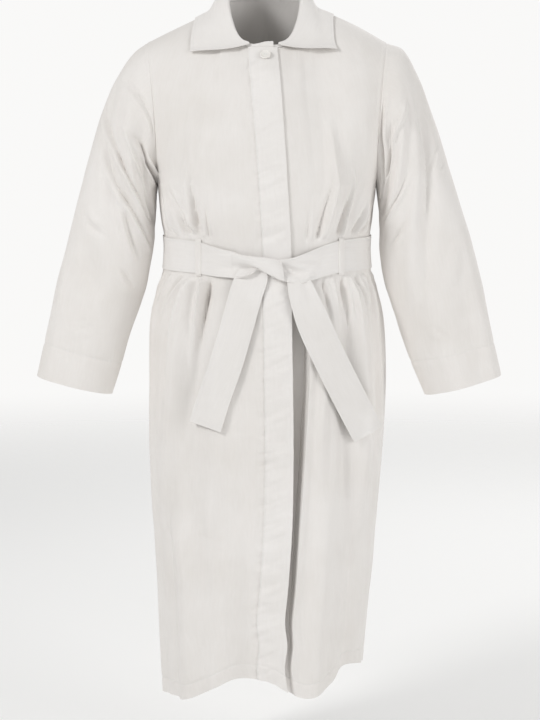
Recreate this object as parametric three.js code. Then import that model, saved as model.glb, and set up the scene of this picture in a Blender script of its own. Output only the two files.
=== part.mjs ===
// A kittel: a long white cotton robe with a turned-down collar, a covered front placket, set-in sleeves
// with deep hems, and a tie belt knotted once in front. It keeps the hollow form of being worn.
// Millimetres, +Z up. The wearer faces -Y, so the wearer's left is at +X. The origin is at the middle of
// the neck base, at the height where the shoulder seams reach the collar.
import * as THREE from 'three';

// Driving dimensions
const CLOTH = 1.6; // wall of the robe's cloth
const SEAM_GAP = 0.3; // between two pieces that are sewn together
const SEAM_DRAW = 0.2; // each panel's edge draws back by this for it
const LAYER_GAP = 0.4; // between two layers that lie on each other
const LAPPED = CLOTH + LAYER_GAP; // the over front lies this far out on the under front
const UNDERARM = -335; // height of the underarm
const SEAM_ANGLE = 90; // side seams, in degrees from the centre front
const SQUARENESS = 2.3; // exponent of the body's oval sections
const PLACKET_WIDTH = 52;
const LAP_FADE = 4; // columns beyond the placket over which the over front comes back to the form
const NECK_CENTRE = -4;
const NECK_SIDE = 72; // half width of the neck seam
const NECK_FRONT = 84;
const NECK_BACK = 70;
const NECK_SHARE = 0.34; // part of a panel's upper edge that is neck, the rest is shoulder
const SHOULDER_Y = 4; // the shoulder seam lies this far behind the origin
const ARMHOLE_BOW = 7; // the armhole seam curves this far in towards the chest
const BOW_END = 0.2; // of the sleeve's length, over which that curve dies away
const SLEEVE_SET = 0.42; // the sleeve's first ring stands this far out from the armhole
const SLEEVE_SET_ROWS = 3; // and it comes back to the form over these rows
const BELT_WIDTH = 60;
const BELT_CLOTH = 2;
const BELT_LIFT = 0.8; // between the robe and the belt round the waist
const BELT_HOLD = BELT_WIDTH + 8; // the belt presses the folds flat over this height
const FOLD_RETURN = 34; // and they are back at full depth this far above and below it
const LOOP_CLOTH = 1.4;
const LOOP_WIDTH = 10;
const BUTTON_RADIUS = 10;
const BUTTON_HEIGHT = 4;
const BUTTON_DROP = 19; // from the neck seam down to the button's middle
const BUTTON_SHIFT = 4; // and from the placket's middle towards its free edge
const BUTTON_LIFT = 1.05; // its seat over the placket

// Grid counts
const WAIST_ROWS = 4; // from the underarm down to the belt
const BELT_ROWS = 2;
const SKIRT_ROWS = 17; // from the belt to the hem
const SKIRT_EASE = 1.15; // above 1, rows lie closer together under the belt
const LOWER_ROWS = WAIST_ROWS + BELT_ROWS + SKIRT_ROWS;
const UPPER_ROWS = 9; // from the underarm to the shoulder, and half of the way round an armhole
const NECK_COLUMNS = 8; // of a front, along its neck edge
const BACK_NECK_COLUMNS = 4; // of half a back, along its neck edge
const SHOULDER_COLUMNS = 9; // of a front or half a back, along the shoulder seam
const SLEEVE_ROWS = 17;
const LEAF_COLUMNS = 28;
const PLACKET_COLUMNS = 2;
const BUTTON_SIDES = 16;

// Searches
const SEARCH_PASSES = 24; // halvings of a share
const OPENING_REACH = 0.6; // no column beside the opening lies beyond this share of the front
const HEIGHT_PASSES = 4;
const CLEAR_PASSES = 3;
const FAR_FRONT = -1000; // y from which surfaces are felt

// Sections of the body: half width, depth in front of and behind the side seams, and sideways shift
const BODY = [
  { z: -320, side: 204, front: 139, back: 128, shift: 0 },
  { z: -335, side: 204, front: 139, back: 128, shift: 0 },
  { z: -400, side: 197, front: 137, back: 122, shift: 0 },
  { z: -430, side: 193, front: 133, back: 116, shift: 0 },
  { z: -460, side: 192, front: 130, back: 113, shift: 0 },
  { z: -495, side: 195, front: 133, back: 118, shift: 0 },
  { z: -540, side: 208, front: 142, back: 130, shift: 0 },
  { z: -600, side: 215, front: 149, back: 141, shift: 0 },
  { z: -700, side: 218, front: 154, back: 148, shift: 2 },
  { z: -800, side: 218, front: 158, back: 152, shift: 0 },
  { z: -900, side: 213, front: 161, back: 154, shift: -2 },
  { z: -1000, side: 206, front: 163, back: 154, shift: -3 },
  { z: -1100, side: 199, front: 163, back: 153, shift: -4 },
  { z: -1200, side: 192, front: 162, back: 151, shift: -7 },
  { z: -1320, side: 184, front: 160, back: 149, shift: -10 },
];

// Height of the hem round the body, by the angle from the centre front
const HEM = [
  { angle: -180, z: -1290 },
  { angle: -135, z: -1300 },
  { angle: -90, z: -1306 },
  { angle: -60, z: -1296 },
  { angle: -42, z: -1288 },
  { angle: -25, z: -1264 },
  { angle: -8, z: -1241 },
  { angle: 2, z: -1246 },
  { angle: 12, z: -1268 },
  { angle: 21, z: -1281 },
  { angle: 32, z: -1274 },
  { angle: 48, z: -1247 },
  { angle: 62, z: -1236 },
  { angle: 90, z: -1256 },
  { angle: 135, z: -1284 },
  { angle: 180, z: -1290 },
];

// The front opening: the over front's free edge, the crest of the fold beside it in the under front, and
// the depth of the recess that opens between them below the belt
const OPENING = [
  { z: -78, edge: 18, crest: 32, recess: 14 },
  { z: -182, edge: 27, crest: 44, recess: 14 },
  { z: -342, edge: 38, crest: 58, recess: 14 },
  { z: -430, edge: 43, crest: 64, recess: 14 },
  { z: -505, edge: 45, crest: 69, recess: 14 },
  { z: -560, edge: 45, crest: 74, recess: 22 },
  { z: -645, edge: 46, crest: 78, recess: 29 },
  { z: -800, edge: 48, crest: 71, recess: 31 },
  { z: -952, edge: 46, crest: 61, recess: 28 },
  { z: -1077, edge: 38, crest: 53, recess: 22 },
  { z: -1134, edge: 33, crest: 48, recess: 17 },
  { z: -1180, edge: 37, crest: 49, recess: 12 },
  { z: -1225, edge: 33, crest: 46, recess: 8 },
  { z: -1300, edge: 45, crest: 57, recess: 6 },
];
const CREST_WALL = 5; // the recess rises over this width
const CREST_FALL = 16; // and its crest falls back to the form over this width
const RECESS_SHARES = [0, 0.3, 1, 1, -0.12]; // of the recess, at the under front's first columns

// Folds of the body: each runs from one angle and height to another, with its half width in degrees
// there, its depth (out is positive), and the lengths over which it starts and dies away
const FOLDS = [
  // Blousing above the belt
  { angle: -76, z: -345, toAngle: -49, toZ: -470, wide: 10, toWide: 8, depth: 10, start: 60, end: 10 },
  { angle: -60, z: -350, toAngle: -35, toZ: -470, wide: 9, toWide: 7, depth: -6, start: 60, end: 10 },
  { angle: -34, z: -240, toAngle: -26, toZ: -470, wide: 12, toWide: 8, depth: 6, start: 120, end: 10 },
  { angle: 44, z: -230, toAngle: 27, toZ: -470, wide: 12, toWide: 8, depth: 6, start: 140, end: 10 },
  { angle: 59, z: -270, toAngle: 38, toZ: -470, wide: 9, toWide: 7, depth: -8, start: 110, end: 10 },
  { angle: 70, z: -340, toAngle: 48, toZ: -470, wide: 9, toWide: 8, depth: 9, start: 60, end: 10 },
  { angle: 90, z: -350, toAngle: 66, toZ: -470, wide: 10, toWide: 8, depth: -6, start: 60, end: 10 },
  { angle: 150, z: -240, toAngle: 154, toZ: -470, wide: 14, toWide: 10, depth: 9, start: 140, end: 10 },
  { angle: 180, z: -240, toAngle: 178, toZ: -470, wide: 15, toWide: 10, depth: 8, start: 150, end: 10 },
  { angle: 211, z: -240, toAngle: 207, toZ: -470, wide: 14, toWide: 10, depth: 9, start: 140, end: 10 },
  { angle: 122, z: -330, toAngle: 128, toZ: -470, wide: 11, toWide: 9, depth: 8, start: 70, end: 10 },
  { angle: 239, z: -330, toAngle: 233, toZ: -470, wide: 11, toWide: 9, depth: 8, start: 70, end: 10 },
  // Flutes of the skirt, wearer's right
  { angle: -80, z: -480, toAngle: -84, toZ: -1500, wide: 9, toWide: 12, depth: 8, start: 120, end: 100 },
  { angle: -40, z: -470, toAngle: -62, toZ: -900, wide: 7, toWide: 10, depth: 13, start: 50, end: 240 },
  { angle: -27, z: -470, toAngle: -46, toZ: -900, wide: 7, toWide: 10, depth: -11, start: 60, end: 240 },
  { angle: -15, z: -480, toAngle: -27, toZ: -1000, wide: 9, toWide: 12, depth: 8, start: 120, end: 300 },
  { angle: -44, z: -760, toAngle: -44, toZ: -1500, wide: 11, toWide: 14, depth: 15, start: 300, end: 100 },
  { angle: -18, z: -760, toAngle: -15, toZ: -1500, wide: 10, toWide: 14, depth: -13, start: 300, end: 100 },
  // Flutes of the skirt, wearer's left
  { angle: 38, z: -470, toAngle: 44, toZ: -1060, wide: 7, toWide: 10, depth: -9, start: 60, end: 300 },
  { angle: 52, z: -470, toAngle: 60, toZ: -1200, wide: 8, toWide: 11, depth: 10, start: 70, end: 320 },
  { angle: 68, z: -470, toAngle: 77, toZ: -1060, wide: 8, toWide: 10, depth: -10, start: 50, end: 300 },
  { angle: 29, z: -800, toAngle: 27, toZ: -1500, wide: 9, toWide: 12, depth: 11, start: 260, end: 100 },
  { angle: 54, z: -800, toAngle: 54, toZ: -1500, wide: 12, toWide: 14, depth: -13, start: 300, end: 100 },
  // Flutes of the skirt, behind
  { angle: 101, z: -480, toAngle: 104, toZ: -1500, wide: 10, toWide: 12, depth: 12, start: 120, end: 100 },
  { angle: 123, z: -480, toAngle: 127, toZ: -1500, wide: 10, toWide: 12, depth: -12, start: 140, end: 100 },
  { angle: 146, z: -480, toAngle: 149, toZ: -1500, wide: 10, toWide: 13, depth: 15, start: 110, end: 100 },
  { angle: 169, z: -480, toAngle: 172, toZ: -1500, wide: 10, toWide: 13, depth: -13, start: 130, end: 100 },
  { angle: 192, z: -480, toAngle: 194, toZ: -1500, wide: 10, toWide: 13, depth: 16, start: 110, end: 100 },
  { angle: 215, z: -480, toAngle: 214, toZ: -1500, wide: 10, toWide: 12, depth: -13, start: 140, end: 100 },
  { angle: 238, z: -480, toAngle: 236, toZ: -1500, wide: 10, toWide: 12, depth: 14, start: 120, end: 100 },
  { angle: 258, z: -480, toAngle: 257, toZ: -1500, wide: 9, toWide: 10, depth: -8, start: 150, end: 100 },
];
const ARMHOLE_CALM = 24; // folds die away within this many degrees of the armholes
const ARMHOLE_CALM_BELOW = 60; // and this far below them

// Slit in each side seam: the front's edge stands proud of the back's between these heights
const SLIT = { top: -534, bottom: -692, fade: 40, lift: 5 };

// Height of the neck seam, by the angle from the centre front
const NECK = [
  { angle: -20, z: -87 },
  { angle: 0, z: -87 },
  { angle: 20, z: -87 },
  { angle: 40, z: -77 },
  { angle: 60, z: -47 },
  { angle: 80, z: -15 },
  { angle: 90, z: -4 },
  { angle: 110, z: 3 },
  { angle: 145, z: 7 },
  { angle: 180, z: 8 },
  { angle: 215, z: 7 },
];

// Depth of the centre lines from the underarm up to the neck, as a share of that height
const CENTRE_FRONT = [
  { up: 0, y: -139 },
  { up: 0.3, y: -136 },
  { up: 0.6, y: -126 },
  { up: 0.82, y: -108 },
  { up: 1, y: -80 },
];
const CENTRE_BACK = [
  { up: 0, y: 128 },
  { up: 0.3, y: 134 },
  { up: 0.6, y: 128 },
  { up: 0.85, y: 102 },
  { up: 1, y: 74 },
];

// Sleeve sections from the armhole to the cuff: the outer and inner points of the outline, the middle's
// depth, and the reach in front of and behind it. x counts away from the body's centre.
const SLEEVES = {
  sleeve_right: {
    side: -1,
    shoulderRise: 1, // of the shoulder seam, above a straight line
    sections: [
      { down: 0, outerX: 222, outerZ: -75, innerX: 204, innerZ: -335, y: 4, front: 78, back: 82 },
      { down: 0.06, outerX: 247, outerZ: -93, innerX: 206, innerZ: -345, y: 3, front: 80, back: 82 },
      { down: 0.14, outerX: 273, outerZ: -129, innerX: 207, innerZ: -361, y: 2, front: 80, back: 80 },
      { down: 0.24, outerX: 298, outerZ: -178, innerX: 208, innerZ: -381, y: 0, front: 76, back: 76 },
      { down: 0.36, outerX: 321, outerZ: -248, innerX: 210, innerZ: -412, y: -3, front: 70, back: 70 },
      { down: 0.5, outerX: 346, outerZ: -336, innerX: 215, innerZ: -466, y: -8, front: 64, back: 62 },
      { down: 0.64, outerX: 372, outerZ: -436, innerX: 226, innerZ: -526, y: -15, front: 58, back: 55 },
      { down: 0.78, outerX: 396, outerZ: -528, innerX: 247, innerZ: -590, y: -23, front: 54, back: 49 },
      { down: 0.9, outerX: 416, outerZ: -620, innerX: 270, innerZ: -660, y: -30, front: 51, back: 45 },
      { down: 1, outerX: 432, outerZ: -692, innerX: 291, innerZ: -726, y: -36, front: 49, back: 43 },
    ],
    folds: [
      { around: 52, down: 0.04, toAround: 148, toDown: 0.52, wide: 26, depth: 8, fade: 0.14 },
      { around: 84, down: 0.03, toAround: 178, toDown: 0.4, wide: 22, depth: -6, fade: 0.12 },
      { around: 8, down: 0.1, toAround: 116, toDown: 0.64, wide: 24, depth: -6, fade: 0.16 },
      { around: 60, down: 0.6, toAround: 74, toDown: 1.2, wide: 34, depth: -5, fade: 0.2 },
      { around: 300, down: 0.05, toAround: 210, toDown: 0.55, wide: 26, depth: 8, fade: 0.15 },
      { around: 330, down: 0.2, toAround: 240, toDown: 0.75, wide: 26, depth: -6, fade: 0.16 },
    ],
  },
  sleeve_left: {
    side: 1,
    shoulderRise: 7,
    sections: [
      { down: 0, outerX: 222, outerZ: -75, innerX: 204, innerZ: -335, y: 4, front: 78, back: 82 },
      { down: 0.06, outerX: 252, outerZ: -86, innerX: 206, innerZ: -345, y: 3, front: 80, back: 82 },
      { down: 0.14, outerX: 277, outerZ: -128, innerX: 208, innerZ: -361, y: 2, front: 80, back: 80 },
      { down: 0.24, outerX: 298, outerZ: -180, innerX: 210, innerZ: -381, y: 0, front: 76, back: 76 },
      { down: 0.36, outerX: 323, outerZ: -248, innerX: 211, innerZ: -412, y: -3, front: 70, back: 70 },
      { down: 0.5, outerX: 350, outerZ: -336, innerX: 213, innerZ: -464, y: -8, front: 64, back: 62 },
      { down: 0.64, outerX: 381, outerZ: -436, innerX: 222, innerZ: -522, y: -15, front: 58, back: 55 },
      { down: 0.78, outerX: 405, outerZ: -528, innerX: 244, innerZ: -588, y: -23, front: 54, back: 49 },
      { down: 0.9, outerX: 424, outerZ: -620, innerX: 267, innerZ: -658, y: -30, front: 51, back: 45 },
      { down: 1, outerX: 440, outerZ: -690, innerX: 296, innerZ: -728, y: -36, front: 49, back: 43 },
    ],
    folds: [
      { around: 60, down: 0.03, toAround: 150, toDown: 0.45, wide: 26, depth: 8, fade: 0.14 },
      { around: 92, down: 0.02, toAround: 175, toDown: 0.36, wide: 22, depth: -6, fade: 0.12 },
      { around: 20, down: 0.1, toAround: 100, toDown: 0.62, wide: 26, depth: -5, fade: 0.16 },
      { around: 112, down: 0.42, toAround: 98, toDown: 1.2, wide: 28, depth: 6, fade: 0.2 },
      { around: 58, down: 0.5, toAround: 60, toDown: 1.2, wide: 28, depth: -5, fade: 0.2 },
      { around: 300, down: 0.05, toAround: 210, toDown: 0.55, wide: 26, depth: 8, fade: 0.15 },
      { around: 330, down: 0.2, toAround: 240, toDown: 0.75, wide: 26, depth: -6, fade: 0.16 },
    ],
  },
};

// The collar: height of the stand above the neck seam, its lean towards the neck, and the leaf's outer
// edge, by the angle from the centre front. edgeX is from the collar's own centre.
const COLLAR = [
  { angle: 0, stand: 6, lean: 0, edgeX: 60, edgeY: -112, edgeZ: -89 },
  { angle: 22, stand: 6, lean: 0, edgeX: 134, edgeY: -70, edgeZ: -89 },
  { angle: 35, stand: 8, lean: 1, edgeX: 131, edgeY: -58, edgeZ: -80 },
  { angle: 60, stand: 16, lean: 3, edgeX: 121, edgeY: -32, edgeZ: -60 },
  { angle: 90, stand: 29, lean: 6, edgeX: 110, edgeY: 6, edgeZ: -40 },
  { angle: 120, stand: 36, lean: 8, edgeX: 98, edgeY: 58, edgeZ: -33 },
  { angle: 150, stand: 40, lean: 9, edgeX: 60, edgeY: 90, edgeZ: -31 },
  { angle: 180, stand: 41, lean: 9, edgeX: 0, edgeY: 100, edgeZ: -30 },
];
const STAND_INSET = 0.27; // of a column, from the over front's edge to the stand's lapped end
const STAND_ROWS = [0, 0.5, 1];
const STAND_LIFT = 0.8; // its lower edge over the panels' slanted neck edge
const LEAF_FROM = -22; // angle where the leaf starts on the over front
const LEAF_TO = -340; // and where it ends on the under front
const LEAF_LIFT = 2.2; // clearance of the leaf's under side over the robe
const LEAF_LAP = 0.09; // of its way round, over which it comes down off the lap
const ROLL_FULL = 16; // height of stand at which the rolled edge has its full width
const ROLL_LEAST = 0.5; // share of that width where the stand is lowest
// The leaf's rolled edge, out from and up over the top of the stand
const ROLL = [
  { out: 0.5, up: 0.9 },
  { out: 2, up: 3.2 },
  { out: 5.4, up: 3.6 },
  { out: 8.6, up: 0.2 },
];
const FALL_STEPS = 5;
// Between the roll and its edge the leaf swells out, and up at the shoulders, but sags at the front
const FALL_BULGE = { out: 2.5, up: 5, sag: 6, frontTo: 30, shoulderFrom: 80 };
const COLLAR_SHIFT = -7; // of the leaf's outer edge, towards the wearer's right
const COLLAR_TILT = 9; // the leaf hangs this much lower on the wearer's right, and higher on the left

// Middle height of the belt round the waist
const BELT = [
  { angle: -180, z: -450 },
  { angle: -90, z: -461 },
  { angle: -40, z: -465 },
  { angle: -20, z: -474 },
  { angle: 0, z: -480 },
  { angle: 10, z: -479 },
  { angle: 20, z: -472 },
  { angle: 40, z: -464 },
  { angle: 90, z: -460 },
  { angle: 180, z: -450 },
];
const PLACKET_RISES = [6, 5, 5, 2.6, 1.6, 0.8]; // lift of the belt at the under front's first columns

// The crossing: the belt's end from the wearer's right, narrowed and rolled, laid over the other end.
// Each section is an arc of an oval: lift is its front from the body's form, curl the angle it bends
// through.
const CROSSING = [
  { x: -61.4, z: -475, lift: 6, height: 60, depth: 0, curl: 120 },
  { x: -50, z: -475, lift: 11.5, height: 54, depth: 2, curl: 150 },
  { x: -36, z: -476, lift: 18, height: 42, depth: 5, curl: 190 },
  { x: -18, z: -477, lift: 21.5, height: 33, depth: 7, curl: 230 },
  { x: 0, z: -478, lift: 23.5, height: 29, depth: 8, curl: 250 },
  { x: 15, z: -481, lift: 24, height: 32, depth: 8, curl: 255 },
  { x: 28, z: -487, lift: 22.5, height: 34, depth: 7, curl: 250 },
  { x: 36, z: -493, lift: 20, height: 29, depth: 6, curl: 240 },
];
const CROSSING_COLUMNS = 8;
const CROSSING_START = -62; // x where the plain stretch from the wearer's right ends

// The hanging ends: middle of the strip, lift from the robe's form, turn of its width from level, width
const TAILS = {
  belt_tail_right: [
    { x: -20, z: -495, lift: 6.8, turn: 2, width: 32 },
    { x: -29, z: -509, lift: 7, turn: 8, width: 54 },
    { x: -38, z: -530, lift: 8, turn: 12, width: 60 },
    { x: -52, z: -580, lift: 9, turn: 15, width: 60 },
    { x: -74, z: -655, lift: 8, turn: 17, width: 60 },
    { x: -95, z: -715, lift: 9, turn: 17, width: 60 },
    { x: -113, z: -771, lift: 13, turn: 17, width: 60 },
  ],
  belt_tail_left: [
    { x: 56, z: -499, lift: 13, turn: 0, width: 38 },
    { x: 64, z: -526, lift: 14, turn: -8, width: 50 },
    { x: 84, z: -580, lift: 12, turn: -20, width: 60 },
    { x: 116, z: -650, lift: 9, turn: -25, width: 60 },
    { x: 152, z: -722, lift: 9, turn: -25, width: 60 },
    { x: 188, z: -792, lift: 14, turn: -26, width: 60 },
  ],
};
const TAIL_ROWS = 12;
const TAIL_COLUMNS = 3;
const TAIL_CLEAR = 0.6; // between a hanging end and the robe's ridges
const TAIL_REACH = 12; // the robe is felt this far round each of its points
const TAIL_SLANT = 0.45; // most that it turns with the robe's side, as depth over width
const LOOPS = { belt_loop_right: -124, belt_loop_left: 135 };
// Lift of a belt loop along its length
const LOOP_PROFILE = [
  { down: 0, lift: 0.8 },
  { down: 0.015, lift: 1 },
  { down: 0.045, lift: 4.2 },
  { down: 0.5, lift: 4.8 },
  { down: 0.955, lift: 4.2 },
  { down: 0.985, lift: 1 },
  { down: 1, lift: 0.8 },
];

const { clamp, degToRad, radToDeg, lerp: mix } = THREE.MathUtils;
const ease = (t) => THREE.MathUtils.smoothstep(t, 0, 1);
const bump = (u) => (Math.abs(u) < 1 ? 0.5 + 0.5 * Math.cos(Math.PI * u) : 0);
const power = (v, p) => Math.sign(v) * Math.abs(v) ** p;
const wrapAngle = (a) => THREE.MathUtils.euclideanModulo(a + 180, 360) - 180;
const vector = (x, y, z) => new THREE.Vector3(x, y, z);

// Smooth value of one named column of a table, at a place along its key column
function read(table, key, at, name) {
  const rising = table[table.length - 1][key] > table[0][key];
  const rows = rising ? table : [...table].reverse();
  const last = rows.length - 1;
  const place = clamp(at, rows[0][key], rows[last][key]);
  let i = 0;
  while (i < last - 1 && rows[i + 1][key] < place) i++;
  const slope = (k) => {
    const a = rows[Math.max(k - 1, 0)];
    const b = rows[Math.min(k + 1, last)];
    return (b[name] - a[name]) / (b[key] - a[key]);
  };
  const width = rows[i + 1][key] - rows[i][key];
  const t = (place - rows[i][key]) / width;
  const t2 = t * t;
  const t3 = t2 * t;
  return (
    (2 * t3 - 3 * t2 + 1) * rows[i][name] +
    (t3 - 2 * t2 + t) * width * slope(i) +
    (3 * t2 - 2 * t3) * rows[i + 1][name] +
    (t3 - t2) * width * slope(i + 1)
  );
}

// Point of the body's plain form at an angle from the centre front, positive towards +X
function formPoint(angle, z) {
  const a = degToRad(angle);
  const depth = read(BODY, 'z', z, Math.cos(a) > 0 ? 'front' : 'back');
  const side = read(BODY, 'z', z, 'side');
  const p = 2 / SQUARENESS;
  const x = read(BODY, 'z', z, 'shift') + side * power(Math.sin(a), p);
  return vector(x, -depth * power(Math.cos(a), p), z);
}

// Direction out of the plain form
function formNormal(angle, z) {
  const across = formPoint(angle + 1, z).sub(formPoint(angle - 1, z));
  return vector(across.y, -across.x, 0).normalize();
}

// Angle on the front at which the form has this x
function frontAngle(x, z) {
  const share = (x - read(BODY, 'z', z, 'shift')) / read(BODY, 'z', z, 'side');
  return radToDeg(Math.asin(power(clamp(share, -1, 1), SQUARENESS / 2)));
}

const beltMiddle = (angle) => read(BELT, 'angle', wrapAngle(angle), 'z');

function foldDepth(angle, z) {
  const side = ease(1 - Math.abs(90 - Math.abs(wrapAngle(angle))) / ARMHOLE_CALM);
  const calm = side * (z > UNDERARM ? 1 : ease(1 - (UNDERARM - z) / ARMHOLE_CALM_BELOW));
  const fromBelt = Math.abs(z - beltMiddle(angle)) - BELT_HOLD / 2;
  let depth = 0;
  for (const f of FOLDS) {
    const t = (f.z - z) / (f.z - f.toZ);
    if (t <= 0 || t >= 1) continue;
    const off = wrapAngle(angle - mix(f.angle, f.toAngle, t)) / mix(f.wide, f.toWide, t);
    depth += f.depth * bump(off) * ease((f.z - z) / f.start) * ease((z - f.toZ) / f.end);
  }
  return depth * (1 - calm) * ease(fromBelt / FOLD_RETURN);
}

function neckPoint(angle) {
  const a = degToRad(angle);
  const depth = Math.cos(a) > 0 ? NECK_FRONT : NECK_BACK;
  const z = read(NECK, 'angle', Math.abs(wrapAngle(angle)), 'z');
  return vector(NECK_CENTRE + NECK_SIDE * Math.sin(a), SHOULDER_Y - depth * Math.cos(a), z);
}

const neckAngle = (x) => radToDeg(Math.asin((x - NECK_CENTRE) / NECK_SIDE));

const sleeveOn = (side) => (side < 0 ? 'sleeve_right' : 'sleeve_left');

function sleeveSection(name, down, around) {
  const { side, sections } = SLEEVES[name];
  const at = (column) => read(sections, 'down', down, column);
  const a = degToRad(around);
  const across = (1 + Math.cos(a)) / 2;
  const depth = Math.sin(a) > 0 ? at('front') : at('back');
  const bow = ARMHOLE_BOW * Math.sin(a) ** 2 * (1 - ease(down / BOW_END));
  return vector(
    side * (mix(at('innerX'), at('outerX'), across) - bow),
    at('y') - depth * Math.sin(a),
    mix(at('innerZ'), at('outerZ'), across),
  );
}

// Direction out of an armhole in its own plane, at an angle round the sleeve's tube
function armholeOut(name, around) {
  const middle = sleeveSection(name, 0, 0).add(sleeveSection(name, 0, 180)).multiplyScalar(0.5);
  return sleeveSection(name, 0, around).sub(middle).setX(0).normalize();
}

// The upper edge of half a front or back: the neck seam, then the shoulder seam
function upperEdge(side, front, share) {
  if (share <= NECK_SHARE) {
    const part = (share / NECK_SHARE) * SEAM_ANGLE;
    return neckPoint(side * (front ? part : 180 - part));
  }
  const name = sleeveOn(side);
  const q = (share - NECK_SHARE) / (1 - NECK_SHARE);
  const rise = SLEEVES[name].shoulderRise * Math.sin(Math.PI * q);
  return neckPoint(side * SEAM_ANGLE).lerp(sleeveSection(name, 0, 0), q).add(vector(0, 0, rise));
}

// Point of the body above the underarm: share runs from the centre line (0) to the armhole (1), up from
// the underarm (0) to the neck and shoulder (1). The surface is blended from its four edges.
function upperPoint(side, front, share, up) {
  const low = (s) => formPoint(side * (front ? s : 2 - s) * SEAM_ANGLE, UNDERARM);
  const name = sleeveOn(side);
  const table = front ? CENTRE_FRONT : CENTRE_BACK;
  const centre = low(0).lerp(upperEdge(side, front, 0), up).setY(read(table, 'up', up, 'y'));
  const rim = sleeveSection(name, 0, 180 - (front ? 1 : -1) * 180 * up);
  const corners = [low(0), low(1), upperEdge(side, front, 0), upperEdge(side, front, 1)];
  const along = (axis, w) =>
    mix(low(share)[axis], upperEdge(side, front, share)[axis], up) +
    mix(centre[axis], rim[axis], w) -
    mix(mix(corners[0][axis], corners[1][axis], w), mix(corners[2][axis], corners[3][axis], w), up);
  return vector(along('x', share), along('y', ease(share)), along('z', ease(share)));
}

// Signed share of the way from the centre to an armhole at which the front has this x
function frontShare(x, up) {
  const side = x < mix(0, NECK_CENTRE, up) ? -1 : 1;
  let near = 0;
  let far = OPENING_REACH;
  for (let pass = 0; pass < SEARCH_PASSES; pass++) {
    const middle = (near + far) / 2;
    if (side * upperPoint(side, true, middle, up).x < side * x) near = middle;
    else far = middle;
  }
  return side * near;
}

// Normals of a grid of points, rows by columns. closed joins the last column to the first.
function gridNormals(grid, flip, closed) {
  const rows = grid.length;
  const columns = grid[0].length;
  return grid.map((row, i) =>
    row.map((_, j) => {
      const left = closed ? row[(j + columns - 1) % columns] : row[Math.max(j - 1, 0)];
      const right = closed ? row[(j + 1) % columns] : row[Math.min(j + 1, columns - 1)];
      const across = right.clone().sub(left);
      const along = grid[Math.min(i + 1, rows - 1)][j].clone().sub(grid[Math.max(i - 1, 0)][j]);
      return across.cross(along).multiplyScalar(flip ? -1 : 1).normalize();
    }),
  );
}

// Gives points that several grids share one normal, so that their cut edges meet face to face
function shareNormals(sheets) {
  const sums = new Map();
  const key = (p) => p.toArray().map((v) => v.toFixed(2)).join();
  const each = (visit) =>
    sheets.forEach((s) => s.grid.forEach((row, i) => row.forEach((p, j) => visit(s, i, j, key(p)))));
  each((s, i, j, k) => sums.set(k, (sums.get(k) ?? vector(0, 0, 0)).clone().add(s.normals[i][j])));
  each((s, i, j, k) => {
    s.normals[i][j] = sums.get(k).clone().normalize();
  });
}

// Geometry with its faces turned out, by the sign of its volume
function outward(positions, index) {
  const p = (k) => vector().fromArray(positions, 3 * k);
  let volume = 0;
  for (let k = 0; k < index.length; k += 3) {
    volume += p(index[k]).dot(p(index[k + 1]).cross(p(index[k + 2])));
  }
  if (volume < 0) {
    for (let k = 0; k < index.length; k += 3) [index[k], index[k + 1]] = [index[k + 1], index[k]];
  }
  const geometry = new THREE.BufferGeometry();
  geometry.setAttribute('position', new THREE.Float32BufferAttribute(positions, 3));
  geometry.setIndex(index);
  geometry.computeVertexNormals();
  return geometry;
}

// A closed wall between two grids of the same size
function wall(outer, inner, closed = false) {
  const rows = outer.length;
  const columns = outer[0].length;
  const positions = [outer, inner].flatMap((g) => g.flatMap((row) => row.flatMap((p) => p.toArray())));
  const o = (i, j) => i * columns + (j % columns);
  const n = (i, j) => rows * columns + o(i, j);
  const index = [];
  const quad = (a, b, c, d) => index.push(a, b, c, a, c, d);
  const spans = closed ? columns : columns - 1;
  for (let i = 0; i < rows - 1; i++) {
    for (let j = 0; j < spans; j++) {
      quad(o(i, j), o(i, j + 1), o(i + 1, j + 1), o(i + 1, j));
      quad(n(i, j), n(i + 1, j), n(i + 1, j + 1), n(i, j + 1));
    }
    if (closed) continue;
    quad(o(i, 0), o(i + 1, 0), n(i + 1, 0), n(i, 0));
    quad(o(i, columns - 1), n(i, columns - 1), n(i + 1, columns - 1), o(i + 1, columns - 1));
  }
  for (let j = 0; j < spans; j++) {
    quad(o(0, j), n(0, j), n(0, j + 1), o(0, j + 1));
    quad(o(rows - 1, j), o(rows - 1, j + 1), n(rows - 1, j + 1), n(rows - 1, j));
  }
  return outward(positions, index);
}

const shifted = (grid, normals, by) =>
  grid.map((row, i) => row.map((p, j) => p.clone().addScaledVector(normals[i][j], by)));

// Height of a row below the underarm, at an angle: to the belt, across it, then to the hem
function rowHeight(angle, row) {
  const middle = beltMiddle(angle);
  const top = middle + BELT_HOLD / 2;
  const bottom = middle - BELT_HOLD / 2;
  const past = row - WAIST_ROWS;
  if (past <= 0) return mix(UNDERARM, top, row / WAIST_ROWS);
  if (past <= BELT_ROWS) return mix(top, bottom, past / BELT_ROWS);
  const share = ((past - BELT_ROWS) / SKIRT_ROWS) ** SKIRT_EASE;
  return mix(bottom, read(HEM, 'angle', wrapAngle(angle), 'z'), share);
}

// Columns of a front beside its opening, as places across the chest
function openingPlaces(side, z) {
  const at = (name) => read(OPENING, 'z', z, name);
  const edge = at('edge');
  const lapped = [edge, edge - PLACKET_WIDTH / 2, edge - PLACKET_WIDTH];
  const crest = at('crest');
  return side < 0 ? lapped : [...lapped.reverse(), crest - CREST_WALL, crest, crest + CREST_FALL];
}

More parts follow.
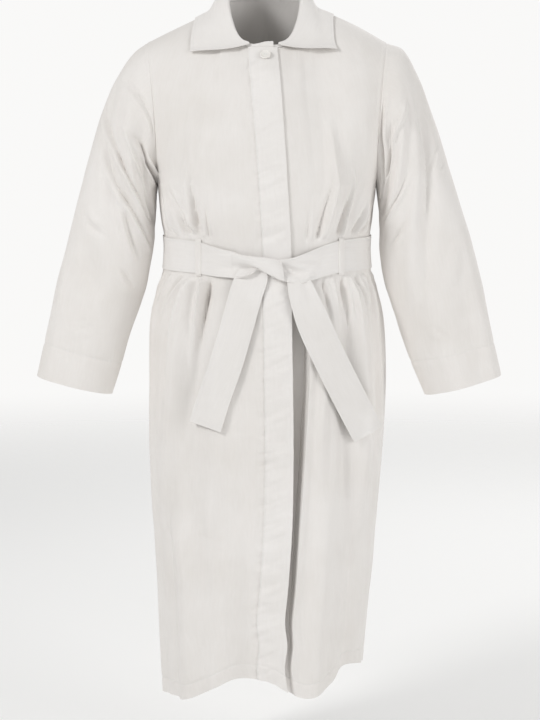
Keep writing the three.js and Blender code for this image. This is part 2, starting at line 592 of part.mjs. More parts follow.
// Heights and angles of a front's row below the underarm
function lowerFrontRow(side, row, columns) {
  const angleAt = (j, z) => {
    const places = openingPlaces(side, z);
    if (j < places.length) return frontAngle(places[j], z);
    const from = frontAngle(places.at(-1), z);
    return mix(from, side * SEAM_ANGLE, (j - places.length + 1) / (columns - places.length + 1));
  };
  return Array.from({ length: columns + 1 }, (_, j) => {
    let z = UNDERARM;
    for (let pass = 0; pass < HEIGHT_PASSES; pass++) z = rowHeight(angleAt(j, z), row);
    return { angle: angleAt(j, z), z };
  });
}

// Signed shares of a front's columns in a row above the underarm
function upperFrontShares(side, i, columns) {
  const up = i / UPPER_ROWS;
  const neckZ = OPENING[0].z;
  const neckShare = (x) => (neckAngle(x) / SEAM_ANGLE) * NECK_SHARE;
  const places = openingPlaces(side, mix(UNDERARM, neckZ, up));
  const last = places.length - 1;
  const lowFrom = frontShare(openingPlaces(side, UNDERARM).at(-1), 0);
  const highFrom = neckShare(openingPlaces(side, neckZ).at(-1));
  return Array.from({ length: columns + 1 }, (_, j) => {
    if (j <= last) return i === UPPER_ROWS ? neckShare(places[j]) : frontShare(places[j], up);
    const low = mix(lowFrom, side, (j - last) / (columns - last));
    const high =
      j <= NECK_COLUMNS
        ? mix(highFrom, side * NECK_SHARE, (j - last) / (NECK_COLUMNS - last))
        : side * mix(NECK_SHARE, 1, (j - NECK_COLUMNS) / SHOULDER_COLUMNS);
    return mix(low, high, up);
  });
}

// A front panel: side -1 is the over front with the placket, side 1 the under front.
// Rows run from the hem up, columns from the opening to the side.
function frontPanel(side) {
  const columns = NECK_COLUMNS + SHOULDER_COLUMNS;
  const grid = [];
  const angles = [];
  for (let row = LOWER_ROWS; row >= 0; row--) {
    const places = lowerFrontRow(side, row, columns);
    angles.push(places.map(({ angle }) => angle));
    grid.push(places.map(({ angle, z }) => formPoint(angle, z)));
  }
  for (let i = 1; i <= UPPER_ROWS; i++) {
    const shares = upperFrontShares(side, i, columns);
    grid.push(shares.map((s) => upperPoint(s < 0 ? -1 : 1, true, Math.abs(s), i / UPPER_ROWS)));
    angles.push(angles[LOWER_ROWS]);
  }
  return { grid, angles, flip: side < 0, normals: gridNormals(grid, side < 0) };
}

// Half of the back, from the centre back to one side
function halfBack(side) {
  const columns = BACK_NECK_COLUMNS + SHOULDER_COLUMNS;
  const angle = (j) => side * mix(180, SEAM_ANGLE, j / columns);
  const indices = Array.from({ length: columns + 1 }, (_, j) => j);
  const grid = [];
  for (let row = LOWER_ROWS; row >= 0; row--) {
    grid.push(indices.map((j) => formPoint(angle(j), rowHeight(angle(j), row))));
  }
  const high = (j) =>
    j <= BACK_NECK_COLUMNS
      ? (NECK_SHARE * j) / BACK_NECK_COLUMNS
      : mix(NECK_SHARE, 1, (j - BACK_NECK_COLUMNS) / SHOULDER_COLUMNS);
  for (let i = 1; i <= UPPER_ROWS; i++) {
    const up = i / UPPER_ROWS;
    grid.push(indices.map((j) => upperPoint(side, false, mix(j / columns, high(j), up), up)));
  }
  return { grid, angles: grid.map(() => indices.map(angle)) };
}

// The back in one piece, from the wearer's left side to the right
function backPanel() {
  const left = halfBack(1);
  const right = halfBack(-1);
  const rows = (name) => left[name].map((row, i) => [...[...row].reverse(), ...right[name][i].slice(1)]);
  const grid = rows('grid');
  return { grid, angles: rows('angles'), flip: false, normals: gridNormals(grid, false) };
}

// Adds the folds to a panel's points, and what lift(z, column) gives for its own edges
function dressPanel(panel, lift) {
  const last = panel.grid[0].length - 1;
  const top = panel.grid.length - 1;
  panel.grid = panel.grid.map((row, i) =>
    row.map((p, j) => {
      const fold = i === top ? 0 : foldDepth(panel.angles[i][j], p.z);
      return p.clone().addScaledVector(panel.normals[i][j], fold + lift(p.z, j, last));
    }),
  );
  panel.normals = gridNormals(panel.grid, panel.flip);
}

const slitLift = (z) => SLIT.lift * ease((SLIT.top - z) / SLIT.fade) * ease((z - SLIT.bottom) / SLIT.fade);
const lapLift = (j) => LAPPED * (1 - ease((j - PLACKET_COLUMNS) / LAP_FADE));
const overLift = (z, j, last) => lapLift(j) + (j === last ? slitLift(z) : 0);

function underLift(z, j, last) {
  const open = ease((beltMiddle(0) - BELT_HOLD / 2 - z) / FOLD_RETURN);
  const recess = (RECESS_SHARES[j] ?? 0) * open * read(OPENING, 'z', z, 'recess');
  return (j === last ? slitLift(z) : 0) - recess;
}

// Turns the cut edge at an armhole square to the armhole's plane
function squareArmhole(panel, column, side, front) {
  for (let i = 0; i <= UPPER_ROWS; i++) {
    const around = 180 - ((front ? 180 : -180) * i) / UPPER_ROWS;
    panel.normals[LOWER_ROWS + i][column] = armholeOut(sleeveOn(side), around);
  }
}

// Draws chosen edges of a grid back into the panel, to leave the gap at a seam
function drawBack(grid, { first, last }) {
  const end = grid[0].length - 1;
  const top = grid.length - 1;
  const pull = (p, towards) => p.addScaledVector(towards.clone().sub(p).normalize(), SEAM_DRAW);
  for (const row of grid) {
    if (first) pull(row[0], row[1]);
    if (last) pull(row[end], row[end - 1]);
  }
  grid[top].forEach((p, j) => pull(p, grid[top - 1][j]));
}

function buildBody() {
  const over = frontPanel(-1);
  const under = frontPanel(1);
  const back = backPanel();
  const sheets = [over, under, back];
  shareNormals(sheets);
  dressPanel(over, overLift);
  dressPanel(under, underLift);
  dressPanel(back, () => 0);
  shareNormals(sheets);
  const last = over.grid[0].length - 1;
  squareArmhole(over, last, -1, true);
  squareArmhole(under, last, 1, true);
  squareArmhole(back, 0, 1, false);
  squareArmhole(back, back.grid[0].length - 1, -1, false);
  drawBack(over.grid, { last: true });
  drawBack(under.grid, { last: true });
  drawBack(back.grid, { first: true, last: true });
  return { over, under, back };
}

// Lapped panels have their columns in one direction, so that their facets match
const aligned = (grid, flip) => (flip ? grid.map((row) => [...row].reverse()) : grid);
function panelWall({ grid, normals, flip }) {
  return wall(aligned(grid, flip), aligned(shifted(grid, normals, -CLOTH), flip));
}

// The placket is the over front's first columns, moved out
function placketGrids({ grid, normals, flip }) {
  const take = (g) => g.map((row) => row.slice(0, PLACKET_COLUMNS + 1));
  const lifted = (by) => aligned(shifted(take(grid), take(normals), by), flip);
  return { low: lifted(LAYER_GAP), high: lifted(LAPPED) };
}

function sleeveFold(folds, down, around) {
  let depth = 0;
  for (const f of folds) {
    const t = (down - f.down) / (f.toDown - f.down);
    if (t <= 0 || t >= 1) continue;
    const off = wrapAngle(around - mix(f.around, f.toAround, t)) / f.wide;
    depth += f.depth * bump(off) * ease((down - f.down) / f.fade) * ease((f.toDown - down) / f.fade);
  }
  return depth;
}

function sleeveWall(name) {
  const { side, folds } = SLEEVES[name];
  const around = Array.from({ length: 2 * UPPER_ROWS }, (_, j) => (180 * j) / UPPER_ROWS);
  const downs = Array.from({ length: SLEEVE_ROWS + 1 }, (_, i) => i / SLEEVE_ROWS);
  const plain = downs.map((down) => around.map((a) => sleeveSection(name, down, a)));
  const out = gridNormals(plain, side > 0, true);
  const dressed = plain.map((row, i) =>
    row.map((p, j) => {
      const start = side * SLEEVE_SET * (1 - ease(i / SLEEVE_SET_ROWS));
      const fold = sleeveFold(folds, downs[i], around[j]);
      return p.clone().addScaledVector(out[i][j], fold).add(vector(start, 0, 0));
    }),
  );
  const normals = gridNormals(dressed, side > 0, true);
  normals[0] = around.map((a) => armholeOut(name, a));
  return wall(dressed, shifted(dressed, normals, -CLOTH), true);
}

const collarAt = (angle, name) => read(COLLAR, 'angle', Math.abs(wrapAngle(angle)), name);

// The collar's stand rises from the panels' neck edges, and its ends lap as theirs do
function standWall({ over, under, back }) {
  const neck = (panel) => panel.grid.at(-1).slice(0, NECK_COLUMNS + 1);
  const backNeck = back.grid.at(-1).slice(SHOULDER_COLUMNS + 1, -SHOULDER_COLUMNS - 1);
  const line = [...neck(under), ...backNeck, ...neck(over).reverse()];
  line[line.length - 1] = line.at(-1).clone().lerp(line.at(-2), STAND_INSET);
  const grids = [0, CLOTH].map((inside) =>
    line.map((p) => {
      const out = vector(p.x - NECK_CENTRE, p.y - SHOULDER_Y, 0);
      const angle = radToDeg(Math.atan2(out.x, -out.y));
      out.normalize();
      return STAND_ROWS.map((share) => {
        const rise = vector(0, 0, STAND_LIFT + collarAt(angle, 'stand') * share);
        return p.clone().addScaledVector(out, -inside - collarAt(angle, 'lean') * share).add(rise);
      });
    }),
  );
  return wall(grids[0], grids[1]);
}

// Triangles of a grid's surface
function facets(grid) {
  const list = [];
  for (let i = 0; i < grid.length - 1; i++) {
    for (let j = 0; j < grid[0].length - 1; j++) {
      const [a, b, c, d] = [grid[i][j], grid[i][j + 1], grid[i + 1][j + 1], grid[i + 1][j]];
      list.push(new THREE.Triangle(a, b, c), new THREE.Triangle(a, c, d));
    }
  }
  return list;
}

// Moves a point out from the given surfaces until it is clear of them by a distance
function clearOf(surfaces, point, out, gap) {
  const foot = vector();
  const moved = point.clone();
  for (let pass = 0; pass < CLEAR_PASSES; pass++) {
    let nearest = Infinity;
    let height = gap;
    for (const triangle of surfaces) {
      triangle.closestPointToPoint(moved, foot);
      const distance = foot.distanceTo(moved);
      if (distance >= nearest) continue;
      nearest = distance;
      const normal = triangle.getNormal(vector());
      if (normal.dot(out) < 0) normal.negate();
      height = moved.clone().sub(foot).dot(normal);
    }
    if (height >= gap) break;
    moved.addScaledVector(out, gap - height);
  }
  return moved;
}

// The collar's turned-down leaf: a rolled edge over the stand, then a fall that lies over the robe
function leafWall({ over, under, back }) {
  const robeTop = [over, under, back].flatMap(({ grid }) => facets(grid.slice(LOWER_ROWS + 2)));
  const grid = [];
  for (let j = 0; j <= LEAF_COLUMNS; j++) {
    const angle = mix(LEAF_FROM, LEAF_TO, j / LEAF_COLUMNS);
    const a = degToRad(angle);
    const out = vector(Math.sin(a), -Math.cos(a), 0);
    const full = mix(ROLL_LEAST, 1, Math.min(1, collarAt(angle, 'stand') / ROLL_FULL));
    const lapped = LAPPED * ease(1 - j / LEAF_COLUMNS / LEAF_LAP);
    const rim = neckPoint(angle)
      .addScaledVector(out, lapped - collarAt(angle, 'lean'))
      .add(vector(0, 0, STAND_LIFT + collarAt(angle, 'stand')));
    const points = ROLL.map((r) => rim.clone().addScaledVector(out, r.out * full).add(vector(0, 0, r.up)));
    const start = points.at(-1);
    const edgeX = COLLAR_SHIFT + Math.sign(Math.sin(a)) * collarAt(angle, 'edgeX');
    const tilt = COLLAR_TILT * Math.sin(a) * Math.abs(Math.cos(a));
    const edgeZ = collarAt(angle, 'edgeZ') + tilt;
    const edge = vector(edgeX, collarAt(angle, 'edgeY'), edgeZ);
    const { frontTo, shoulderFrom, up, sag } = FALL_BULGE;
    const shoulder = ease((Math.abs(wrapAngle(angle)) - frontTo) / (shoulderFrom - frontTo));
    const away = out.clone().add(vector(0, 0, shoulder)).normalize();
    for (let k = 1; k <= FALL_STEPS; k++) {
      const q = k / FALL_STEPS;
      const arch = Math.sin(Math.PI * q);
      const rise = vector(0, 0, mix(-sag * (1 - q), up, shoulder) * arch);
      const p = start.clone().lerp(edge, q).addScaledVector(out, FALL_BULGE.out * arch).add(rise);
      points.push(clearOf(robeTop, p, away, LEAF_LIFT + CLOTH));
    }
    grid.push(points);
  }
  const normals = gridNormals(grid, false);
  return wall(grid, shifted(grid, normals, -CLOTH));
}

// The belt's plain stretch: from the crossing, round the wearer's left side and back to the right front
function beltRoundWall({ over, under, back }) {
  const level = [WAIST_ROWS, WAIST_ROWS + 1, WAIST_ROWS + 2].map((row) => LOWER_ROWS - row);
  const column = (panel, j, rise) =>
    level.map((row) => ({ p: panel.grid[row][j], n: panel.normals[row][j], rise }));
  const count = (panel) => panel.grid[0].length;
  const columns = [];
  for (let j = 1; j < count(under); j++) columns.push(column(under, j, PLACKET_RISES[j] ?? BELT_LIFT));
  for (let j = 1; j < count(back); j++) columns.push(column(back, j, BELT_LIFT));
  for (let j = count(over) - 2; j > 0; j--) {
    columns.push(column(over, j, BELT_LIFT));
    if (over.grid[level[1]][j].x > CROSSING_START) break;
  }
  const [before, past] = columns.splice(-2);
  const t = (CROSSING_START - before[1].p.x) / (past[1].p.x - before[1].p.x);
  const end = before.map(({ p, n, rise }, k) => ({
    p: p.clone().lerp(past[k].p, t),
    n: n.clone().lerp(past[k].n, t).normalize(),
    rise,
  }));
  columns.push(before, end);
  const narrow = BELT_WIDTH / BELT_HOLD;
  const place = (middle, { p, n, rise }, thick) =>
    middle.clone().lerp(p, narrow).addScaledVector(n, rise + thick);
  const layer = (thick) => columns.map((c) => c.map((spot) => place(c[1].p, spot, thick)));
  return wall(layer(BELT_CLOTH), layer(0));
}

// The rolled stretch that crosses over in front
function crossingWall() {
  const outer = CROSSING.map((row) => {
    const angle = frontAngle(row.x, row.z);
    const normal = formNormal(angle, row.z);
    const middle = formPoint(angle, row.z).addScaledVector(normal, row.lift - row.depth);
    const half = degToRad(row.curl / 2);
    const reach = row.height / 2 / Math.sin(Math.min(half, Math.PI / 2));
    return Array.from({ length: CROSSING_COLUMNS + 1 }, (_, k) => {
      const a = half * (1 - (2 * k) / CROSSING_COLUMNS);
      const rise = vector(0, 0, reach * Math.sin(a));
      return middle.clone().addScaledVector(normal, row.depth * Math.cos(a)).add(rise);
    });
  });
  const normals = gridNormals(outer, true);
  return wall(outer, shifted(outer, normals, -BELT_CLOTH));
}

// How far forward the surfaces come at a place seen from the front
function forwardAt(surfaces, x, z) {
  const ray = new THREE.Ray(vector(x, FAR_FRONT, z), vector(0, 1, 0));
  const hit = vector();
  let y = Infinity;
  for (const { a, b, c } of surfaces) {
    if (ray.intersectTriangle(a, b, c, false, hit)) y = Math.min(y, hit.y);
  }
  return y;
}

// A hanging end of the belt: a strip that lies in front of the skirt
function tailWall(table, robeFront) {
  const grid = [];
  for (let i = 0; i <= TAIL_ROWS; i++) {
    const z = mix(table[0].z, table.at(-1).z, i / TAIL_ROWS);
    const at = (name) => read(table, 'z', z, name);
    const turn = degToRad(at('turn'));
    const formY = (x) => formPoint(frontAngle(x, z), z).y;
    const middle = formY(at('x')) - at('lift');
    const slant = clamp(formY(at('x') + 1) - formY(at('x')), -TAIL_SLANT, TAIL_SLANT);
    const row = [];
    for (let j = 0; j <= TAIL_COLUMNS; j++) {
      const w = (j / TAIL_COLUMNS - 0.5) * at('width');
      const x = at('x') + w * Math.cos(turn);
      const height = z - w * Math.sin(turn);
      const reach = [[0, 0], [-1, 0], [1, 0], [0, -1], [0, 1]];
      const feel = ([dx, dz]) => forwardAt(robeFront, x + dx * TAIL_REACH, height + dz * TAIL_REACH);
      const ridge = Math.min(...reach.map(feel));
      row.push(vector(x, Math.min(middle + slant * w, ridge - TAIL_CLEAR - BELT_CLOTH), height));
    }
    grid.push(row);
  }
  const normals = gridNormals(grid, true);
  return wall(grid, shifted(grid, normals, -BELT_CLOTH));
}

// A belt loop: a strip down over the belt, its two ends on the robe
function loopWall(x) {
  const middle = beltMiddle(frontAngle(x, BELT[1].z));
  const strip = (thick) =>
    LOOP_PROFILE.map(({ down, lift }) => {
      const z = middle + BELT_HOLD * (0.5 - down);
      return [-0.5, 0.5].map((s) => {
        const angle = frontAngle(x + s * LOOP_WIDTH, z);
        return formPoint(angle, z).addScaledVector(formNormal(angle, z), lift + thick);
      });
    });
  return wall(strip(LOOP_CLOTH), strip(0));
}

// The one button that shows, a low dome
function buttonGeometry() {
  const profile = [
    [0, 0],
    [BUTTON_RADIUS - 1, 0],
    [BUTTON_RADIUS, 1],
    [BUTTON_RADIUS, 2.2],
    [BUTTON_RADIUS - 1.2, 3.2],
    [BUTTON_RADIUS / 2, BUTTON_HEIGHT - 0.2],
    [0, BUTTON_HEIGHT],
  ];
  return new THREE.LatheGeometry(profile.map(([x, y]) => new THREE.Vector2(x, y)), BUTTON_SIDES);
}

// Seats the button on the placket, below the neck seam
function seatButton(mesh, high, normals) {
  const top = high.length - 1;
  const [, middle, freeEdge] = high[top];
  const normal = normals[top - 1][1];
  const seat = middle.clone().lerp(freeEdge, BUTTON_SHIFT / (PLACKET_WIDTH / 2));
  const down = high[top - 1][1].clone().sub(middle).normalize();
  mesh.position.copy(seat).addScaledVector(down, BUTTON_DROP).addScaledVector(normal, BUTTON_LIFT);
  mesh.quaternion.setFromUnitVectors(vector(0, 1, 0), normal);
}

function finish(name, color, roughness) {
  return new THREE.MeshStandardMaterial({ name, color, roughness, metalness: 0 });
}
const cloth = finish('cloth', 0xefeeea, 0.85);
const band = finish('band', 0xf1f0ed, 0.8);
const pearl = finish('pearl', 0xf2efe9, 0.35);

const robe = new THREE.Group();
function add(name, geometry, material) {
  const mesh = new THREE.Mesh(geometry, material);
  mesh.name = name;
  robe.add(mesh);
  return mesh;
}

const body = buildBody();
const placket = placketGrids(body.over);
add('front_right', panelWall(body.over), cloth);
add('front_left', panelWall(body.under), cloth);
add('back', panelWall(body.back), cloth);
add('placket', wall(placket.high, placket.low), cloth);
for (const name of Object.keys(SLEEVES)) add(name, sleeveWall(name), cloth);
add('collar_stand', standWall(body), cloth);
add('collar_leaf', leafWall(body), cloth);
add('belt_round', beltRoundWall(body), band);
add('belt_crossing', crossingWall(), band);
const robeFront = [body.over.grid, body.under.grid, placket.high].flatMap(facets);
for (const [name, table] of Object.entries(TAILS)) add(name, tailWall(table, robeFront), band);
for (const [name, x] of Object.entries(LOOPS)) add(name, loopWall(x), cloth);
seatButton(add('button', buttonGeometry(), pearl), placket.high, body.over.normals);

export default robe;
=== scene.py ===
# A kittel: a long white cotton robe with a turned-down collar, a covered placket, wide sleeves and a tie
# belt. Each piece is a thin shell on the form of its solid, with finer folds, puckers and stitching.
# Sizes are millimetres until a mesh is made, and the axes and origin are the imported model's.
import math

import bpy
import numpy as np
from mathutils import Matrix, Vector
from mathutils.bvhtree import BVHTree


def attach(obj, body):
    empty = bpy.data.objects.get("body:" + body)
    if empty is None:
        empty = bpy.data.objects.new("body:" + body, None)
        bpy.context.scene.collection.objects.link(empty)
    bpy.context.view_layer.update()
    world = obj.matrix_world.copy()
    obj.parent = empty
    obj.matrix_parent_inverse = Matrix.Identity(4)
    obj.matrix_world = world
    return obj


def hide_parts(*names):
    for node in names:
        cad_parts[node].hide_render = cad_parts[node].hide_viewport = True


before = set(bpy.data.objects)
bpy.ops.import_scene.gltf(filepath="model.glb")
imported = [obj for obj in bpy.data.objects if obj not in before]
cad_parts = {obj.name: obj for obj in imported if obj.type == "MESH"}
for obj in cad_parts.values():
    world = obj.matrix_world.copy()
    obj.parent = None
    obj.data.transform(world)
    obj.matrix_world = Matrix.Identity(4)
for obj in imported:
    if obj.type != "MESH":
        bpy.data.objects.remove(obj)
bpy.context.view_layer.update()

MM = 0.001

# Driving dimensions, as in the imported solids
UNDERARM = -335
SEAM_ANGLE = 90
SQUARENESS = 2.3
PLACKET_WIDTH = 52
LAPPED = 2.0
LAP_FADE = 4
PLACKET_COLUMNS = 2
NECK_CENTRE = -4
NECK_SIDE = 72
NECK_FRONT = 84
NECK_BACK = 70
NECK_SHARE = 0.34
SHOULDER_Y = 4
ARMHOLE_BOW = 7
BOW_END = 0.2
BELT_WIDTH = 60
BELT_HOLD = 68
BELT_LIFT = 0.8
BELT_CLOTH = 1.6
FOLD_RETURN = 34
NECK_COLUMNS = 8
BACK_NECK_COLUMNS = 4
SHOULDER_COLUMNS = 9
FRONT_COLUMNS = NECK_COLUMNS + SHOULDER_COLUMNS
BACK_COLUMNS = BACK_NECK_COLUMNS + SHOULDER_COLUMNS

# Cloth of the shells
SHELL = 0.9  # wall of one layer
HEM_EXTRA = 0.6  # more where the cloth is doubled
HEM_DEPTH = 27
CUFF_DEPTH = 57
SEAM_PILLOW = 0.7  # the cloth swells beside a seam
SEAM_WIDE = 9  # over this width
STITCH_PITCH = 3.0
STITCH_LENGTH = 2.3
THREAD = 0.28  # radius
STITCH_LIFT = 0.05
STITCH_DIP = 0.8  # a row of stitches draws the cloth in by this
DIP_WIDE = 2.2
PLACKET_DIP = 0.25
PLACKET_PUCKER = 1.6
HEM_PUCKER = 0.8
CUFF_PUCKER = 1.1
CAP_PUCKER = 0.9
LEAF_WALL = 1.3
STAND_WALL = 1.2
SEWN_DOWN = 0.3  # gap under a layer that is sewn on
FORWARD = np.array([0, -1, 0])
UPWARD = np.array([0, 0, 1.0])


def table(names, *rows):
    """Columns of a short table, sorted by the first one."""
    return dict(zip(names.split(), np.array(sorted(rows), float).T))


BODY = table(
    "z side front back shift",
    (-320, 204, 139, 128, 0),
    (-335, 204, 139, 128, 0),
    (-400, 197, 137, 122, 0),
    (-430, 193, 133, 116, 0),
    (-460, 192, 130, 113, 0),
    (-495, 195, 133, 118, 0),
    (-540, 208, 142, 130, 0),
    (-600, 215, 149, 141, 0),
    (-700, 218, 154, 148, 2),
    (-800, 218, 158, 152, 0),
    (-900, 213, 161, 154, -2),
    (-1000, 206, 163, 154, -3),
    (-1100, 199, 163, 153, -4),
    (-1200, 192, 162, 151, -7),
    (-1320, 184, 160, 149, -10),
)
HEM = table(
    "angle z",
    (-180, -1290),
    (-135, -1300),
    (-90, -1306),
    (-60, -1296),
    (-42, -1288),
    (-25, -1264),
    (-8, -1241),
    (2, -1246),
    (12, -1268),
    (21, -1281),
    (32, -1274),
    (48, -1247),
    (62, -1236),
    (90, -1256),
    (135, -1284),
    (180, -1290),
)
OPENING = table(
    "z edge crest recess",
    (-78, 18, 32, 14),
    (-182, 27, 44, 14),
    (-342, 38, 58, 14),
    (-430, 43, 64, 14),
    (-505, 45, 69, 14),
    (-560, 45, 74, 22),
    (-645, 46, 78, 29),
    (-800, 48, 71, 31),
    (-952, 46, 61, 28),
    (-1077, 38, 53, 22),
    (-1134, 33, 48, 17),
    (-1180, 37, 49, 12),
    (-1225, 33, 46, 8),
    (-1300, 45, 57, 6),
)
CREST_WALL = 5
CREST_FALL = 16
RECESS_SHARES = (0, 0.3, 1, 1, -0.12, 0)
SLIT = {"top": -534, "bottom": -692, "fade": 40, "lift": 5}
NECK = table(
    "angle z",
    (-20, -87),
    (0, -87),
    (20, -87),
    (40, -77),
    (60, -47),
    (80, -15),
    (90, -4),
    (110, 3),
    (145, 7),
    (180, 8),
    (215, 7),
)
CENTRE_FRONT = table("up y", (0, -139), (0.3, -136), (0.6, -126), (0.82, -108), (1, -80))
CENTRE_BACK = table("up y", (0, 128), (0.3, 134), (0.6, 128), (0.85, 102), (1, 74))
BELT = table(
    "angle z",
    (-180, -450),
    (-90, -461),
    (-40, -465),
    (-20, -474),
    (0, -480),
    (10, -479),
    (20, -472),
    (40, -464),
    (90, -460),
    (180, -450),
)
SLEEVE_NAMES = "down outerX outerZ innerX innerZ y front back"
SLEEVES = {
    "sleeve_right": {
        "side": -1,
        "rise": 1,
        "form": table(
            SLEEVE_NAMES,
            (0, 222, -75, 204, -335, 4, 78, 82),
            (0.06, 247, -93, 206, -345, 3, 80, 82),
            (0.14, 273, -129, 207, -361, 2, 80, 80),
            (0.24, 298, -178, 208, -381, 0, 76, 76),
            (0.36, 321, -248, 210, -412, -3, 70, 70),
            (0.5, 346, -336, 215, -466, -8, 64, 62),
            (0.64, 372, -436, 226, -526, -15, 58, 55),
            (0.78, 396, -528, 247, -590, -23, 54, 49),
            (0.9, 416, -620, 270, -660, -30, 51, 45),
            (1, 432, -692, 291, -726, -36, 49, 43),
        ),
        # around, down, to around, to down, half width, depth, fade
        "folds": (
            (52, 0.04, 148, 0.52, 26, 8, 0.14),
            (84, 0.03, 178, 0.4, 22, -6, 0.12),
            (8, 0.1, 116, 0.64, 24, -6, 0.16),
            (60, 0.6, 74, 1.2, 34, -5, 0.2),
            (300, 0.05, 210, 0.55, 26, 8, 0.15),
            (330, 0.2, 240, 0.75, 26, -6, 0.16),
        ),
        "creases": (
            (((2, 0.25), (47, 0.29), (80, 0.3), (111, 0.32), (158, 0.37)), 17, -5, 1),
            (((30, 0.14), (72, 0.06), (92, 0.025), (106, 0.018)), 13, -4, 1),
            (((50, 0.34), (82, 0.39), (111, 0.4), (132, 0.43), (168, 0.47)), 20, -6, 1),
            (((80, 0.18), (103, 0.12), (126, 0.1), (150, 0.05)), 16, -7, 1),
            (((112, 0.14), (136, 0.08), (158, 0.02), (172, -0.05)), 14, -11, -1),
            (((98, 0.42), (114, 0.49), (138, 0.56)), 18, -5, 1),
            (((62, 0.2), (92, 0.2), (124, 0.22), (150, 0.26)), 15, 3.5, 0),
            (((36, 0.55), (60, 0.568), (86, 0.56)), 15, -3, -1),
            (((58, 0.6), (76, 0.68), (92, 0.76)), 38, -6, 0),
            (((110, 0.62), (140, 0.66)), 16, -3, 1),
            (((24, 0.7), (40, 0.84)), 22, 2.5, 0),
            (((70, 0.86), (96, 0.83)), 12, -2, 1),
            (((330, 0.3), (280, 0.34), (214, 0.38)), 17, -5, 1),
            (((300, 0.12), (250, 0.1), (206, 0.06)), 15, -6, -1),
            (((310, 0.52), (262, 0.56), (220, 0.5)), 18, -5, 1),
            (((290, 0.7), (250, 0.78)), 24, 3.5, 0),
        ),
    },
    "sleeve_left": {
        "side": 1,
        "rise": 7,
        "form": table(
            SLEEVE_NAMES,
            (0, 222, -75, 204, -335, 4, 78, 82),
            (0.06, 252, -86, 206, -345, 3, 80, 82),
            (0.14, 277, -128, 208, -361, 2, 80, 80),
            (0.24, 298, -180, 210, -381, 0, 76, 76),
            (0.36, 323, -248, 211, -412, -3, 70, 70),
            (0.5, 350, -336, 213, -464, -8, 64, 62),
            (0.64, 381, -436, 222, -522, -15, 58, 55),
            (0.78, 405, -528, 244, -588, -23, 54, 49),
            (0.9, 424, -620, 267, -658, -30, 51, 45),
            (1, 440, -690, 296, -728, -36, 49, 43),
        ),
        "folds": (
            (60, 0.03, 150, 0.45, 26, 8, 0.14),
            (92, 0.02, 175, 0.36, 22, -6, 0.12),
            (20, 0.1, 100, 0.62, 26, -5, 0.16),
            (112, 0.42, 98, 1.2, 28, 6, 0.2),
            (58, 0.5, 60, 1.2, 28, -5, 0.2),
            (300, 0.05, 210, 0.55, 26, 8, 0.15),
            (330, 0.2, 240, 0.75, 26, -6, 0.16),
        ),
        "creases": (
            (((70, 0.012), (104, 0.02), (118, 0.05), (136, 0.11), (160, 0.2)), 15, -6, 1),
            (((88, 0.07), (108, 0.11), (126, 0.135), (146, 0.155)), 14, -3.5, 1),
            (((60, 0.14), (68, 0.13), (90, 0.115), (113, 0.1)), 15, 4.5, 0),
            (((40, 0.14), (45, 0.22), (54, 0.33), (77, 0.5), (104, 0.7), (126, 0.8)), 34, -6, -1),
            (((26, 0.36), (44, 0.38), (60, 0.4)), 10, -1.8, 1),
            (((24, 0.42), (42, 0.43)), 9, -1.5, 1),
            (((96, 0.3), (120, 0.34), (150, 0.36)), 18, -3.5, 1),
            (((110, 0.46), (140, 0.5)), 18, -3, 1),
            (((50, 0.62), (70, 0.74)), 26, 3, 0),
            (((88, 0.86), (110, 0.83)), 12, -2, 1),
            (((330, 0.32), (280, 0.36), (214, 0.4)), 17, -5, 1),
            (((300, 0.12), (250, 0.1), (206, 0.06)), 15, -6, -1),
            (((312, 0.55), (262, 0.6), (222, 0.54)), 18, -5, 1),
            (((290, 0.72), (250, 0.8)), 24, 3.5, 0),
        ),
    },
}
# Angle, height, to angle, to height, half width there and there, depth, and how long it starts and ends
FOLDS = (
    (-76, -345, -49, -470, 10, 8, 10, 60, 10),
    (-60, -350, -35, -470, 9, 7, -6, 60, 10),
    (-34, -240, -26, -470, 12, 8, 6, 120, 10),
    (44, -230, 27, -470, 12, 8, 6, 140, 10),
    (59, -270, 38, -470, 9, 7, -8, 110, 10),
    (70, -340, 48, -470, 9, 8, 9, 60, 10),
    (90, -350, 66, -470, 10, 8, -6, 60, 10),
    (150, -240, 154, -470, 14, 10, 9, 140, 10),
    (180, -240, 178, -470, 15, 10, 8, 150, 10),
    (211, -240, 207, -470, 14, 10, 9, 140, 10),
    (122, -330, 128, -470, 11, 9, 8, 70, 10),
    (239, -330, 233, -470, 11, 9, 8, 70, 10),
    (-80, -480, -84, -1500, 9, 12, 8, 120, 100),
    (-40, -470, -62, -900, 7, 10, 13, 50, 240),
    (-27, -470, -46, -900, 7, 10, -11, 60, 240),
    (-15, -480, -27, -1000, 9, 12, 8, 120, 300),
    (-44, -760, -44, -1500, 11, 14, 15, 300, 100),
    (-18, -760, -15, -1500, 10, 14, -13, 300, 100),
    (38, -470, 44, -1060, 7, 10, -9, 60, 300),
    (52, -470, 60, -1200, 8, 11, 10, 70, 320),
    (68, -470, 77, -1060, 8, 10, -10, 50, 300),
    (29, -800, 27, -1500, 9, 12, 11, 260, 100),
    (54, -800, 54, -1500, 12, 14, -13, 300, 100),
    (101, -480, 104, -1500, 10, 12, 12, 120, 100),
    (123, -480, 127, -1500, 10, 12, -12, 140, 100),
    (146, -480, 149, -1500, 10, 13, 15, 110, 100),
    (169, -480, 172, -1500, 10, 13, -13, 130, 100),
    (192, -480, 194, -1500, 10, 13, 16, 110, 100),
    (215, -480, 214, -1500, 10, 12, -13, 140, 100),
    (238, -480, 236, -1500, 10, 12, 14, 120, 100),
    (258, -480, 257, -1500, 9, 10, -8, 150, 100),
)
